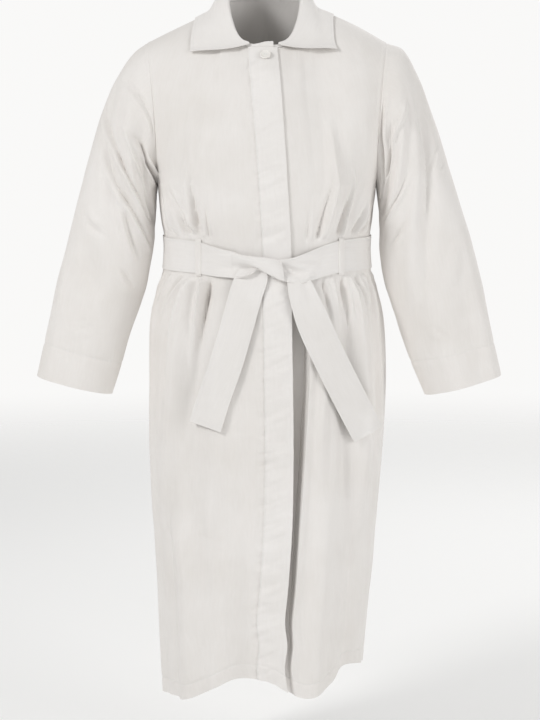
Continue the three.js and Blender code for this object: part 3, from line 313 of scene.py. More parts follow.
# Finer creases of the body: a line of angles and heights, half width, depth and the side its lip is on
CREASES = (
    (((-66, -325), (-56, -362), (-49, -392), (-40, -428)), 12, -6, 1),
    (((-44, -290), (-40, -350), (-37, -432)), 15, -6.5, -1),
    (((-58, -360), (-47, -430)), 10, -4.5, 1),
    (((-76, -340), (-66, -390), (-58, -432)), 11, -5, 1),
    (((-84, -370), (-72, -432)), 10, -4, 1),
    (((-30, -330), (-30, -432)), 9, -2.5, -1),
    (((-48, -180), (-46, -260), (-43, -330)), 26, 3, 0),
    (((38, -250), (34, -310), (29, -375), (25, -436)), 14, -6.5, 1),
    (((40, -212), (39, -260), (33, -330), (29, -400)), 20, 5, 0),
    (((52, -300), (43, -385), (39, -434)), 12, -6, 1),
    (((54, -302), (47, -360), (43, -420)), 12, 4.5, 0),
    (((68, -346), (56, -402), (50, -433)), 11, -5.5, 1),
    (((80, -350), (68, -400), (62, -433)), 11, -4.5, 1),
    (((20, -360), (19, -436)), 8, -2, 1),
    (((-32, -486), (-35, -600), (-40, -740)), 15, 7, 0),
    (((-28, -486), (-30, -560), (-33, -660)), 13, -6.5, -1),
    (((-43, -488), (-50, -600), (-58, -760)), 15, 4, 0),
    (((-49, -496), (-58, -530), (-70, -590)), 11, -4.5, 1),
    (((-64, -494), (-80, -560)), 10, -4.5, 1),
    (((-78, -494), (-88, -540)), 9, -4, 1),
    (((-44, -498), (-53, -600), (-60, -740)), 14, -4.5, 1),
    (((-4, -790), (-7, -930), (-10, -1090)), 38, -5, 0),
    (((-16, -780), (-21, -880), (-27, -980)), 38, 4.5, 0),
    (((-56, -900), (-38, -1100)), 34, 3, 0),
    (((-24, -1040), (-30, -1240)), 26, -3, 0),
    (((27, -500), (30, -600)), 11, -4.5, 1),
    (((34, -498), (37, -620)), 10, 4.5, 0),
    (((41, -498), (43, -630)), 11, -5.5, 1),
    (((47, -496), (52, -640)), 10, 4.5, 0),
    (((54, -496), (60, -620)), 11, -5, 1),
    (((62, -496), (68, -600)), 10, 4, 0),
    (((70, -494), (76, -620)), 11, -4.5, 1),
    (((82, -494), (86, -570)), 10, -4, 1),
    (((25, -640), (24, -780), (25, -900)), 18, 3, 0),
    (((33, -700), (40, -860), (44, -1000)), 20, -3, 0),
    (((52, -900), (56, -1180)), 26, 3, 0),
    (((102, -360), (110, -432)), 11, -5, 1),
    (((118, -300), (124, -432)), 13, -5.5, -1),
    (((138, -330), (140, -430)), 10, -4, 1),
    (((156, -290), (158, -428)), 13, -5, 1),
    (((174, -340), (174, -428)), 10, -3.5, -1),
    (((192, -300), (190, -428)), 13, -5, 1),
    (((212, -340), (208, -428)), 10, -4, 1),
    (((236, -300), (230, -430)), 13, -5.5, -1),
    (((256, -350), (248, -432)), 11, -5, 1),
    (((100, -494), (104, -600)), 11, -5, 1),
    (((116, -492), (120, -680)), 12, -5, -1),
    (((131, -490), (134, -600)), 10, 4, 0),
    (((144, -490), (148, -720)), 12, -6, 1),
    (((160, -488), (162, -600)), 10, -4, 1),
    (((176, -488), (178, -740)), 13, -6, -1),
    (((190, -488), (190, -610)), 10, 4, 0),
    (((204, -490), (203, -700)), 12, -5.5, 1),
    (((222, -490), (219, -620)), 11, -5, 1),
    (((240, -492), (236, -700)), 12, -5, -1),
    (((256, -494), (252, -600)), 10, -4.5, 1),
)
CREASE_GAIN = 1.75
BELT_MIDDLE = -465
BESIDE_HOLD = 45  # a crease that starts this near the belt's middle comes out from under the belt
SLEEVE_GAIN = 1.5
MM_PER_DEGREE = 3.4
SLEEVE_AROUND = 1.47  # millimetres to a degree
SLEEVE_LENGTH = 650
ARMHOLE_CALM = 24
ARMHOLE_CALM_BELOW = 60

COLLAR = table(
    "angle stand lean edgeX edgeY edgeZ",
    (0, 6, 0, 138, -90, -91),
    (22, 6, 0, 134, -70, -89),
    (35, 8, 1, 131, -58, -80),
    (60, 16, 3, 121, -32, -60),
    (90, 29, 6, 110, 6, -40),
    (120, 36, 8, 98, 58, -33),
    (150, 40, 9, 60, 90, -31),
    (180, 41, 9, 0, 100, -30),
)
STAND_INSET = 0.27
STAND_LIFT = 0.8
LAP_RISE = 5  # the stand's lapped end stands up
LAP_WIDE = 40
LEAF_FROM = -22
LEAF_TO = -340
LEAF_COLUMNS = 28
LEAF_LIFT = 2.2
LEAF_LAP = 0.09
ROLL_FULL = 16
ROLL_LEAST = 0.5
ROLL = ((0.5, 0.9), (2, 3.2), (5.4, 3.6), (8.6, 0.2))
FALL_STEPS = 5
FALL_OUT = 2.5
FALL_UP = 5
FALL_SAG = 6
COLLAR_SHIFT = -7
COLLAR_TILT = 9

# The belt's lift over the form beside the opening
BELT_RISE = table(
    "x lift",
    (-400, 0.8),
    (-122, 0.8),
    (-95, 2.4),
    (-62, 5),
    (10, 9),
    (30, 10.5),
    (50, 10),
    (66, 8.5),
    (84, 4.5),
    (104, 1.4),
    (122, 0.8),
)
# Narrower towards the crossing
BELT_TAPER = table(
    "x width drop",
    (-200, 60, 0),
    (-128, 58, 0),
    (-100, 54, -1),
    (-62, 47, -1.5),
    (0, 34, -6),
    (24, 38, -6.5),
    (65, 51, -9),
    (100, 55, -4),
    (135, 58, 0),
    (200, 60, 0),
)
# Heights and lifts, across the crossing's band: its top, crown, fold, trough and lower lip. The first
# row lies before its start, to level it there.
CROSSING = table(
    "x top crown fold trough lip topLift crownLift foldLift troughLift lipLift slant",
    (-72, -457, -463, -471, -484, -500, 8.5, 12.5, 10.5, 3, 10.5, 0),
    (-62, -453.5, -461, -469, -483, -500.5, 6.5, 9.5, 8, 3, 7.5, 0),
    (-52, -457, -463, -471, -484, -500, 8.5, 12.5, 10.5, 3, 10.5, 0),
    (-40, -459.5, -464.5, -472.5, -484, -498, 11.5, 17, 14.5, 3.4, 14.5, 1),
    (-30, -460.5, -466, -475.5, -484, -493, 13.5, 20, 17, 5.5, 16, 2),
    (-19, -462, -468, -480, -483, -486, 15, 21, 18.5, 11.5, 14, 3),
    (-6, -463, -471, -487, -489, -491, 16, 23, 19.5, 16, 11, 4),
    (8, -465, -475, -494, -497, -499, 16, 24, 20, 16, 10, 5),
    (22, -468, -480, -501, -504, -506, 13, 22, 18.5, 14, 9, 7),
    (31, -472, -484, -503, -506, -508, 9, 18, 15, 11, 7, 8),
)
CROSSING_START = -62
JOIN_WIDE = 44  # over this width the plain band turns into the crossing
KNOT_CREASES = (
    (((16, -475), (32, -484), (50, -491), (74, -495)), 13, -9.5, 0),
    (((60, -505), (72, -498), (86, -492)), 10, 4, 0),
    (((26, -466), (60, -468), (96, -474)), 10, 2, 0),
    (((40, -472), (84, -478)), 9, -1.6, 1),
)
TAILS = {
    "belt_tail_right": table(
        "z x lift turn width",
        (-486, -25, 3.5, 4, 50),
        (-499, -28, 5.5, 7, 59),
        (-509, -31, 7, 9, 60),
        (-530, -38, 8, 12, 60),
        (-580, -52, 9, 15, 60),
        (-655, -74, 8, 17, 60),
        (-715, -95, 9, 17, 60),
        (-771, -113, 13, 17, 60),
    ),
    "belt_tail_left": table(
        "z x lift turn width",
        (-500, 57, 6, 3, 42),
        (-507, 58.5, 10, 0, 44),
        (-515, 61, 14, -4, 47),
        (-526, 64, 14, -8, 50),
        (-580, 84, 12, -20, 60),
        (-650, 116, 9, -25, 60),
        (-722, 152, 9, -25, 60),
        (-792, 188, 14, -26, 60),
    ),
}
TAIL_CLEAR = 0.8
TAIL_REACH = 12
TAIL_SLANT = 0.45
LOOPS = {"belt_loop_right": -124, "belt_loop_left": 135}
LOOP_WIDTH = 10
LOOP_PROFILE = table(
    "down lift",
    (0, 0.8),
    (0.015, 1),
    (0.045, 3.3),
    (0.5, 3.5),
    (0.955, 3.3),
    (0.985, 1),
    (1, 0.8),
)
BUTTON_DROP = 19
BUTTON_SHIFT = 4
BUTTON_LIFT = 2.4
BUTTON_LEAN = 0.26  # it hangs forward on its thread


# Small mathematics, all on whole arrays
def mix(a, b, t):
    return a + (b - a) * t


def ease(t):
    t = np.clip(t, 0, 1)
    return t * t * (3 - 2 * t)


def bump(u):
    return np.where(np.abs(u) < 1, 0.5 + 0.5 * np.cos(np.pi * np.clip(u, -1, 1)), 0)


def power(value, exponent):
    return np.sign(value) * np.abs(value) ** exponent


def wrap(angle):
    return (angle + 180) % 360 - 180


def unit(vectors):
    return vectors / np.maximum(np.linalg.norm(vectors, axis=-1, keepdims=True), 1e-9)


def points(x, y, z):
    return np.stack(np.broadcast_arrays(*(np.asarray(v, float) for v in (x, y, z))), -1)


def read(t, at, name):
    """Smooth value of a table's column, at places along its first column."""
    key, value = next(iter(t.values())), t[name]
    last = len(key) - 1
    place = np.clip(at, key[0], key[last])
    i = np.clip(np.searchsorted(key, place) - 1, 0, last - 1)
    before = np.maximum(np.arange(last + 1) - 1, 0)
    after = np.minimum(np.arange(last + 1) + 1, last)
    slope = (value[after] - value[before]) / (key[after] - key[before])
    width = key[i + 1] - key[i]
    s = (place - key[i]) / width
    return (
        (2 * s**3 - 3 * s**2 + 1) * value[i]
        + (s**3 - 2 * s**2 + s) * width * slope[i]
        + (3 * s**2 - 2 * s**3) * value[i + 1]
        + (s**3 - s**2) * width * slope[i + 1]
    )


def lattice(u, v, seed, period=64):
    """Smooth noise from about -1 to 1, at places in lattice units; it repeats along u."""
    size = 64
    values = np.random.default_rng(seed).uniform(-1, 1, (period, size))
    u, v = np.broadcast_arrays(u, v)
    i, j = np.floor(u).astype(int), np.floor(v).astype(int)

    def weights(t):
        middle = (3 * t**3 - 6 * t**2 + 4) / 6, (-3 * t**3 + 3 * t**2 + 3 * t + 1) / 6
        return (1 - t) ** 3 / 6, *middle, t**3 / 6

    across, along = weights(u - i), weights(v - j)
    total = 0
    for a in range(4):
        for b in range(4):
            total = total + across[a] * along[b] * values[(i + a) % period, (j + b) % size]
    return total * 1.8


def normals_of(grid, closed=False):
    """Unit normals of a grid of points, rows by columns."""
    along = np.gradient(grid, axis=0)
    if closed:
        across = np.roll(grid, -1, 1) - np.roll(grid, 1, 1)
    else:
        across = np.gradient(grid, axis=1)
    return unit(np.cross(across, along))


def facing(normals, away):
    """The normals, turned round where they look against these vectors."""
    return -normals if (normals * away).sum() < 0 else normals


def arc(grid, axis):
    """Length along a line of points, or a grid's rows or columns, from its first point."""
    steps = np.linalg.norm(np.diff(grid, axis=axis), axis=-1)
    pad = [(1, 0) if a == axis else (0, 0) for a in range(steps.ndim)]
    return np.pad(np.cumsum(steps, axis=axis), pad)


def along_line(values, run, places):
    return np.stack([np.interp(places, run, values[:, k]) for k in range(3)], -1)


def blur(values):
    """Each value of a grid mixed with its neighbours along both axes; the border stays."""
    values = values.copy()
    values[1:-1] = (values[:-2] + 2 * values[1:-1] + values[2:]) / 4
    values[:, 1:-1] = (values[:, :-2] + 2 * values[:, 1:-1] + values[:, 2:]) / 4
    return values


def columns_at(values, places):
    """Values of whole-numbered columns, read at places between them."""
    i = np.clip(np.floor(places).astype(int), 0, values.shape[-1] - 2)
    return mix(values[..., i], values[..., i + 1], places - i)


def stations(*stretches):
    """Rising places: each stretch is (from, to, number of steps), and the last point closes it."""
    parts = [np.linspace(a, b, n, endpoint=False) for a, b, n in stretches]
    return np.concatenate([*parts, [stretches[-1][1]]])


# The body's form
def form_point(angle, z):
    a = np.radians(angle)
    depth = np.where(np.cos(a) > 0, read(BODY, z, "front"), read(BODY, z, "back"))
    x = read(BODY, z, "shift") + read(BODY, z, "side") * power(np.sin(a), 2 / SQUARENESS)
    return points(x, -depth * power(np.cos(a), 2 / SQUARENESS), z)


def form_normal(angle, z):
    across = form_point(angle + 1, z) - form_point(angle - 1, z)
    return unit(points(across[..., 1], -across[..., 0], 0))


def front_angle(x, z):
    share = (x - read(BODY, z, "shift")) / read(BODY, z, "side")
    return np.degrees(np.arcsin(power(np.clip(share, -1, 1), SQUARENESS / 2)))


def belt_middle(angle):
    return read(BELT, wrap(angle), "z")


def fold_sum(folds, angle, z):
    depth = 0.0
    for start, z0, end, z1, wide, to_wide, out, start_fade, end_fade in folds:
        t = (z0 - z) / (z0 - z1)
        off = wrap(angle - mix(start, end, t)) / np.maximum(mix(wide, to_wide, t), 1)
        shape = bump(off) * ease((z0 - z) / start_fade) * ease((z - z1) / end_fade)
        depth = depth + np.where((t > 0) & (t < 1), out * shape, 0)
    return depth


def smooth_line(values, count):
    """A curve through rows of points, resampled to count rows."""
    rows = len(values)
    at = np.linspace(0, rows - 1, count)
    i = np.clip(np.floor(at).astype(int), 0, rows - 2)
    t = (at - i).reshape(-1, *[1] * (values.ndim - 1))
    p0, p1 = values[np.maximum(i - 1, 0)], values[i]
    p2, p3 = values[i + 1], values[np.minimum(i + 2, rows - 1)]
    square, cube = 2 * p0 - 5 * p1 + 4 * p2 - p3, 3 * p1 - p0 - 3 * p2 + p3
    return 0.5 * (2 * p1 + (p2 - p0) * t + square * t**2 + cube * t**3)


def crease_sum(lines, across, along, hold=None):
    """Creases along lines of points: a sharp trough or ridge, with a soft lip on one side.

    A line that ends beside the height where the cloth is held is deepest there.
    """
    depth = 0.0
    for line, wide, out, lean in lines:
        line = smooth_line(np.array(line, float), 3 * len(line) - 2)
        steps = np.hypot(*np.diff(line, axis=0).T)
        run = np.concatenate([[0], np.cumsum(steps)])
        nearest = np.full(np.broadcast(across, along).shape, 1e9)
        signed, share = np.zeros_like(nearest), np.zeros_like(nearest)
        for k, (x, y) in enumerate(line[:-1]):
            dx, dy = line[k + 1] - line[k]
            t = np.clip(((across - x) * dx + (along - y) * dy) / steps[k] ** 2, 0, 1)
            away_x, away_y = across - x - t * dx, along - y - t * dy
            far = np.hypot(away_x, away_y)
            closer = far < nearest
            nearest = np.where(closer, far, nearest)
            signed = np.where(closer, np.sign(dx * away_y - dy * away_x) * far, signed)
            share = np.where(closer, (run[k] + t * steps[k]) / run[-1], share)
        fade = np.sin(np.pi * share) ** 0.8
        if hold is not None and np.abs(line[[0, -1], 1] - hold).min() < BESIDE_HOLD:
            from_hold = share if abs(line[0, 1] - hold) < abs(line[-1, 1] - hold) else 1 - share
            fade = ease((1 - from_hold) / 0.75)
        if lean:
            trough = np.clip(1 - nearest / wide, 0, 1) ** 2
            lip = bump((signed * lean - 0.9 * wide) / (0.9 * wide))
            shape = trough - 0.55 * lip
        else:
            shape = bump(nearest / wide)
        depth = depth + out * fade * shape
    return depth


def body_creases(angle, z):
    turned = (angle + 90) % 360 - 90
    lines = [([(a * MM_PER_DEGREE, h) for a, h in line], *rest) for line, *rest in CREASES]
    return CREASE_GAIN * crease_sum(lines, turned * MM_PER_DEGREE, z, BELT_MIDDLE)


def fold_depth(angle, z):
    side = ease(1 - np.abs(90 - np.abs(wrap(angle))) / ARMHOLE_CALM)
    calm = side * np.where(z > UNDERARM, 1, ease(1 - (UNDERARM - z) / ARMHOLE_CALM_BELOW))
    from_belt = np.abs(z - belt_middle(angle)) - BELT_HOLD / 2
    near = ease(from_belt / FOLD_RETURN)
    fine = body_creases(angle, z) * ease(from_belt / 12)
    return (fold_sum(FOLDS, angle, z) * near + fine) * (1 - calm)


def neck_point(angle):
    a = np.radians(angle)
    depth = np.where(np.cos(a) > 0, NECK_FRONT, NECK_BACK)
    z = read(NECK, np.abs(wrap(angle)), "z")
    return points(NECK_CENTRE + NECK_SIDE * np.sin(a), SHOULDER_Y - depth * np.cos(a), z)


def sleeve_on(side):
    return SLEEVES["sleeve_right" if side < 0 else "sleeve_left"]


def sleeve_point(sleeve, down, around):
    form, a = sleeve["form"], np.radians(around)
    across = (1 + np.cos(a)) / 2
    depth = np.where(np.sin(a) > 0, read(form, down, "front"), read(form, down, "back"))
    bow = ARMHOLE_BOW * np.sin(a) ** 2 * (1 - ease(down / BOW_END))
    return points(
        sleeve["side"] * (mix(read(form, down, "innerX"), read(form, down, "outerX"), across) - bow),
        read(form, down, "y") - depth * np.sin(a),
        mix(read(form, down, "innerZ"), read(form, down, "outerZ"), across),
    )


def upper_edge(side, front, share):
    """The neck seam, then the shoulder seam, of half a front or back."""
    share = np.asarray(share, float)
    part = np.clip(share / NECK_SHARE, 0, 1) * SEAM_ANGLE
    neck = neck_point(side * (part if front else 180 - part))
    sleeve = sleeve_on(side)
    q = np.clip((share - NECK_SHARE) / (1 - NECK_SHARE), 0, 1)
    rise = points(0, 0, sleeve["rise"] * np.sin(np.pi * q))
    tip = sleeve_point(sleeve, 0, 0)
    shoulder = mix(neck_point(side * SEAM_ANGLE), tip, q[..., None]) + rise
    return np.where((share <= NECK_SHARE)[..., None], neck, shoulder)


def upper_point(side, front, share, up):
    """The body above the underarm: share from the centre to the armhole, up from the underarm."""
    share, up = np.broadcast_arrays(np.asarray(share, float), np.asarray(up, float))

    def low(s):
        return form_point(side * (s if front else 2 - s) * SEAM_ANGLE, UNDERARM)

    u = up[..., None]
    centre = mix(low(0.0), upper_edge(side, front, 0.0), u)
    centre[..., 1] = read(CENTRE_FRONT if front else CENTRE_BACK, up, "y")
    rim = sleeve_point(sleeve_on(side), 0, 180 - (1 if front else -1) * 180 * up)
    w = np.stack([share, ease(share), ease(share)], -1)
    corners = mix(
        mix(low(0.0), low(1.0), w),
        mix(upper_edge(side, front, 0.0), upper_edge(side, front, 1.0), w),
        u,
    )
    return mix(low(share), upper_edge(side, front, share), u) + mix(centre, rim, w) - corners


def front_share(x, up):
    """Signed share at which the front has this x, for arrays of both."""
    x, up = np.broadcast_arrays(np.asarray(x, float), np.asarray(up, float))
    side = np.where(x < mix(0, NECK_CENTRE, up), -1, 1)
    near, far = np.zeros(x.shape), np.full(x.shape, 0.6)
    for _ in range(24):
        middle = (near + far) / 2
        right, left = (upper_point(s, True, middle, up)[..., 0] for s in (-1, 1))
        found = np.where(side < 0, right, left)
        inside = side * found < side * x
        near, far = np.where(inside, middle, near), np.where(inside, far, middle)
    return side * near


# Panels. A level is 0 at the underarm, 1 and 2 at the belt's edges and 3 at the hem.
def height(angle, level):
    middle = belt_middle(angle)
    top, bottom = middle + BELT_HOLD / 2, middle - BELT_HOLD / 2
    skirt = mix(bottom, read(HEM, wrap(angle), "z"), np.clip(level - 2, 0, 1))
    belt = mix(top, bottom, np.clip(level - 1, 0, 1))
    return np.where(level <= 1, mix(UNDERARM, top, level), np.where(level <= 2, belt, skirt))


def opening_places(side, z):
    edge, crest = read(OPENING, z, "edge"), read(OPENING, z, "crest")
    lapped = [edge, edge - PLACKET_WIDTH / 2, edge - PLACKET_WIDTH]
    return lapped if side < 0 else [*lapped[::-1], crest - CREST_WALL, crest, crest + CREST_FALL]


HEM_LINES = (0, 1, 2.2, 4, 7.5, 12, 16.5, 21, 24.5, 26, 27, 28, 29.5, 32)  # above the hem's edge
HEM_FALL = 780  # usual drop from the belt to the hem
UPPER_FALL = 250
SKIRT_ROWS = 196
BELT_ROWS = 14
CHEST_ROWS = 28
UPPER_ROWS = 74
LOWER_LEVELS = np.concatenate(
    [
        3 - np.array(HEM_LINES) / HEM_FALL,
        np.linspace(3 - 36 / HEM_FALL, 2, SKIRT_ROWS, endpoint=False),
        np.linspace(2, 1, BELT_ROWS, endpoint=False),
        np.linspace(1, 0, CHEST_ROWS, endpoint=False),
        [0],
    ]
)
UPS = np.linspace(0, 1, UPPER_ROWS)[1:-1]
UPS = np.concatenate([UPS, 1 - np.array([2.6, 1.2, 0]) / UPPER_FALL])
EDGE_LINES = np.array([0.86, 0.93, 1])  # of the last column before a seam
# Columns of the fronts: from, to and number of steps, finer where the placket and the recess are
FRONT_STRETCHES = {
    -1: ((0, 0.12, 2), (0.12, 1.84, 12), (1.84, 2.08, 6), (2.08, FRONT_COLUMNS - 0.3, 84)),
    1: ((0, 2, 8), (2, 3, 10), (3, 4, 6), (4, 5, 9), (5, FRONT_COLUMNS - 0.3, 72)),
}
BACK_STEPS = 66
JOIN_PASSES = 70  # rounds of smoothing at the joins of the form's stretches
JOIN_EDGE = 8  # columns over which it fades out at a seam


def front_columns(side):
    return np.concatenate([stations(*FRONT_STRETCHES[side]), FRONT_COLUMNS - 1 + EDGE_LINES])


def front_panel(side):
    fine = front_columns(side)
    z = np.full((len(LOWER_LEVELS), FRONT_COLUMNS + 1), float(UNDERARM))
    for _ in range(4):
        angle = np.empty_like(z)
        for j in range(FRONT_COLUMNS + 1):
            places = opening_places(side, z[:, j])
            if j < len(places):
                angle[:, j] = front_angle(places[j], z[:, j])
            else:
                share = (j - len(places) + 1) / (FRONT_COLUMNS - len(places) + 1)
                angle[:, j] = mix(front_angle(places[-1], z[:, j]), side * SEAM_ANGLE, share)
        z = height(angle, LOWER_LEVELS[:, None])
    angle = columns_at(angle, fine)
    lower = form_point(angle, height(angle, LOWER_LEVELS[:, None]))

    neck_z = OPENING["z"].max()
    places = opening_places(side, mix(UNDERARM, neck_z, UPS))
    last = len(places) - 1
    low_from = front_share(opening_places(side, UNDERARM)[-1], 0)
    high_from = front_share(opening_places(side, neck_z)[-1], 1)
    shares = np.empty((len(UPS), FRONT_COLUMNS + 1))
    for j in range(FRONT_COLUMNS + 1):
        if j <= last:
            shares[:, j] = front_share(places[j], UPS)
            continue
        low = mix(low_from, side, (j - last) / (FRONT_COLUMNS - last))
        high = mix(high_from, side * NECK_SHARE, (j - last) / (NECK_COLUMNS - last))
        if j > NECK_COLUMNS:
            high = side * mix(NECK_SHARE, 1, (j - NECK_COLUMNS) / SHOULDER_COLUMNS)
        shares[:, j] = mix(low, high, UPS)
    shares = columns_at(shares, fine)
    right, left = (upper_point(s, True, np.abs(shares), UPS[:, None]) for s in (-1, 1))
    upper = np.where((shares < 0)[..., None], right, left)
    grid = smooth_join(np.concatenate([lower, upper]), int((fine <= last).sum()))
    return {"grid": grid, "angle": full_angles(angle), "column": fine, "side": side}


def smooth_join(grid, fixed_first):
    """Eases the creases of the form beside the underarm and below the neck's corner."""
    rows = len(LOWER_LEVELS)
    below = ease((grid[:rows, :, 2] - UNDERARM + 70) / 60)
    above = np.repeat(1 - ease((UPS[:, None] - 0.84) / 0.15), grid.shape[1], 1)
    weight = np.concatenate([below, above])
    edge = np.ones(grid.shape[1])
    if fixed_first:
        edge[: fixed_first + 6] = ease((np.arange(fixed_first + 6) - fixed_first + 1) / 6)
    to_seam = np.arange(JOIN_EDGE - 1, -1, -1) / (JOIN_EDGE - 1)
    edge[-JOIN_EDGE:] = np.minimum(edge[-JOIN_EDGE:], ease(to_seam))
    weight = weight * edge
    depth = grid[..., 1]
    for _ in range(JOIN_PASSES):
        mean = depth.copy()
        mean[1:-1, 1:-1] = (depth[:-2, 1:-1] + depth[2:, 1:-1] + depth[1:-1, :-2] + depth[1:-1, 2:]) / 4
        depth = depth + weight * (mean - depth) * 0.9
    grid = grid.copy()
    grid[..., 1] = depth
    return grid


def full_angles(lower):
    return np.concatenate([lower, np.repeat(lower[-1:], len(UPS), 0)])


def back_panel():
    last = BACK_COLUMNS - 1
    half = [stations((0, last, BACK_STEPS))[:-1], last + stations((0, 0.8, 4)), last + EDGE_LINES]
    half = np.concatenate(half)
    sides = []
    for side in (1, -1):
        angle = side * mix(180, SEAM_ANGLE, half / BACK_COLUMNS)
        angle = np.broadcast_to(angle, (len(LOWER_LEVELS), len(half)))
        lower = form_point(angle, height(angle, LOWER_LEVELS[:, None]))
        high = np.where(
            half <= BACK_NECK_COLUMNS,
            NECK_SHARE * half / BACK_NECK_COLUMNS,
            mix(NECK_SHARE, 1, (half - BACK_NECK_COLUMNS) / SHOULDER_COLUMNS),
        )
        shares = mix(half / BACK_COLUMNS, high, UPS[:, None])
        upper = upper_point(side, False, shares, UPS[:, None])
        sides.append((np.concatenate([lower, upper]), full_angles(angle)))
    (left, left_angle), (right, right_angle) = sides
    left, right = smooth_join(left, 0), smooth_join(right, 0)
    return {
        "grid": np.concatenate([left[:, ::-1], right[:, 1:]], 1),
        "angle": np.concatenate([left_angle[:, ::-1], right_angle[:, 1:]], 1),
        "column": np.concatenate([half[::-1], -half[1:]]),
        "side": 0,
    }


def slit_lift(z):
    top, bottom, fade = SLIT["top"], SLIT["bottom"], SLIT["fade"]
    return SLIT["lift"] * ease((top - z) / fade) * ease((z - bottom) / fade)


def seam_swell(distance):
    return SEAM_PILLOW * np.sin(np.pi * np.clip(distance / SEAM_WIDE, 0, 1)) ** 2


def dress(panel, seed):
    """Adds folds, laps, puckers and a soft unevenness to a panel's points."""
    grid, angle, column, side = panel["grid"], panel["angle"], panel["column"], panel["side"]
    z = grid[..., 2]
    up = np.concatenate([np.zeros(len(LOWER_LEVELS)), UPS])[:, None]
    flip = -1 if side < 0 else 1
    normals = flip * normals_of(grid)
    lift = fold_depth(angle, z) * ease((1 - up) / 0.1)
    if side:
        lift = lift + slit_lift(z) * ease(1 - np.abs(column - FRONT_COLUMNS))
    if side < 0:
        lift = lift + LAPPED * (1 - ease((column - PLACKET_COLUMNS) / LAP_FADE))
    if side > 0:
        open_below = ease((belt_middle(0) - BELT_HOLD / 2 - z) / FOLD_RETURN)
        whole = np.arange(len(RECESS_SHARES))
        i = np.clip(np.floor(column).astype(int), 0, len(whole) - 2)
        shares = np.array(RECESS_SHARES)
        share = np.where(column < len(whole) - 1, mix(shares[i], shares[i + 1], ease(column - i)), 0)
        lift = lift - share * open_below * read(OPENING, z, "recess")
    # Puckers along the placket's stitching and the hem, and a soft unevenness all over
    from_belt = ease((np.abs(z - belt_middle(angle)) - BELT_HOLD / 2) / 20)
    edge_calm = ease((1 - up) / 0.05)
    if side < 0:
        across = (column - PLACKET_COLUMNS) * PLACKET_WIDTH / 2
        near = ease((across + 60) / 30) * ease((14 - across) / 12)
        flat = np.clip(across, -60, 60)
        pucker = lattice(z / 5 + flat / 13, flat / 26 + 3, seed + 1)
        pucker = pucker + lattice(z / 16 - flat / 50, flat / 60 + 9, seed + 5)
        lift = lift + PLACKET_PUCKER * pucker * near * from_belt * edge_calm
        lift = lift - PLACKET_DIP * np.exp(-((across / DIP_WIDE) ** 2)) * edge_calm
    above_hem = z - read(HEM, wrap(angle), "z")
    hem_wave = lattice(angle / 2, above_hem / 40, 2, 180)
    lift = lift + HEM_PUCKER * hem_wave * np.exp(-(((above_hem - HEM_DEPTH) / 16) ** 2))
    lift = lift - STITCH_DIP * np.exp(-(((above_hem - HEM_DEPTH) / DIP_WIDE) ** 2))
    uneven = lattice(angle / 9, z / 95, 3, 40) + 0.45 * lattice(angle / 4, z / 34, 4, 90)
    # The cloth swells beside its seams, and their two sides meet
    length, fall = arc(grid, 1), arc(grid, 0)
    to_side = length[:, -1:] - length
    if side == 0:
        to_side = np.minimum(to_side, length)
    neck_columns = NECK_COLUMNS if side else BACK_NECK_COLUMNS
    to_top = np.where(np.abs(column) > neck_columns, fall[-1:] - fall, SEAM_WIDE)
    calm_side = np.where(up > 0, 1, ease(1 - (UNDERARM - z) / ARMHOLE_CALM_BELOW))
    armhole = 1 - calm_side * (1 - ease(to_side / 30))
    lift = lift + uneven * from_belt * edge_calm * armhole
    lift = lift + seam_swell(to_side) + seam_swell(to_top)
    grid = grid + normals * lift[..., None]
    panel["grid"], panel["normals"] = grid, flip * normals_of(grid)
    panel["above_hem"] = above_hem


# Meshes
def add_mesh(name, vertices, faces, corners_uv, material, smooth=50):
    mesh = bpy.data.meshes.new(name)
    mesh.from_pydata((vertices * MM).tolist(), [], faces)
    if corners_uv is not None:
        layer = mesh.uv_layers.new(name="cloth")
        layer.data.foreach_set("uv", (corners_uv * MM).astype(np.float32).ravel())
    mesh.materials.append(material)
    mesh.shade_smooth()
    mesh.set_sharp_from_angle(angle=math.radians(smooth))
    piece = bpy.data.objects.new(name, mesh)
    bpy.context.scene.collection.objects.link(piece)
    return piece


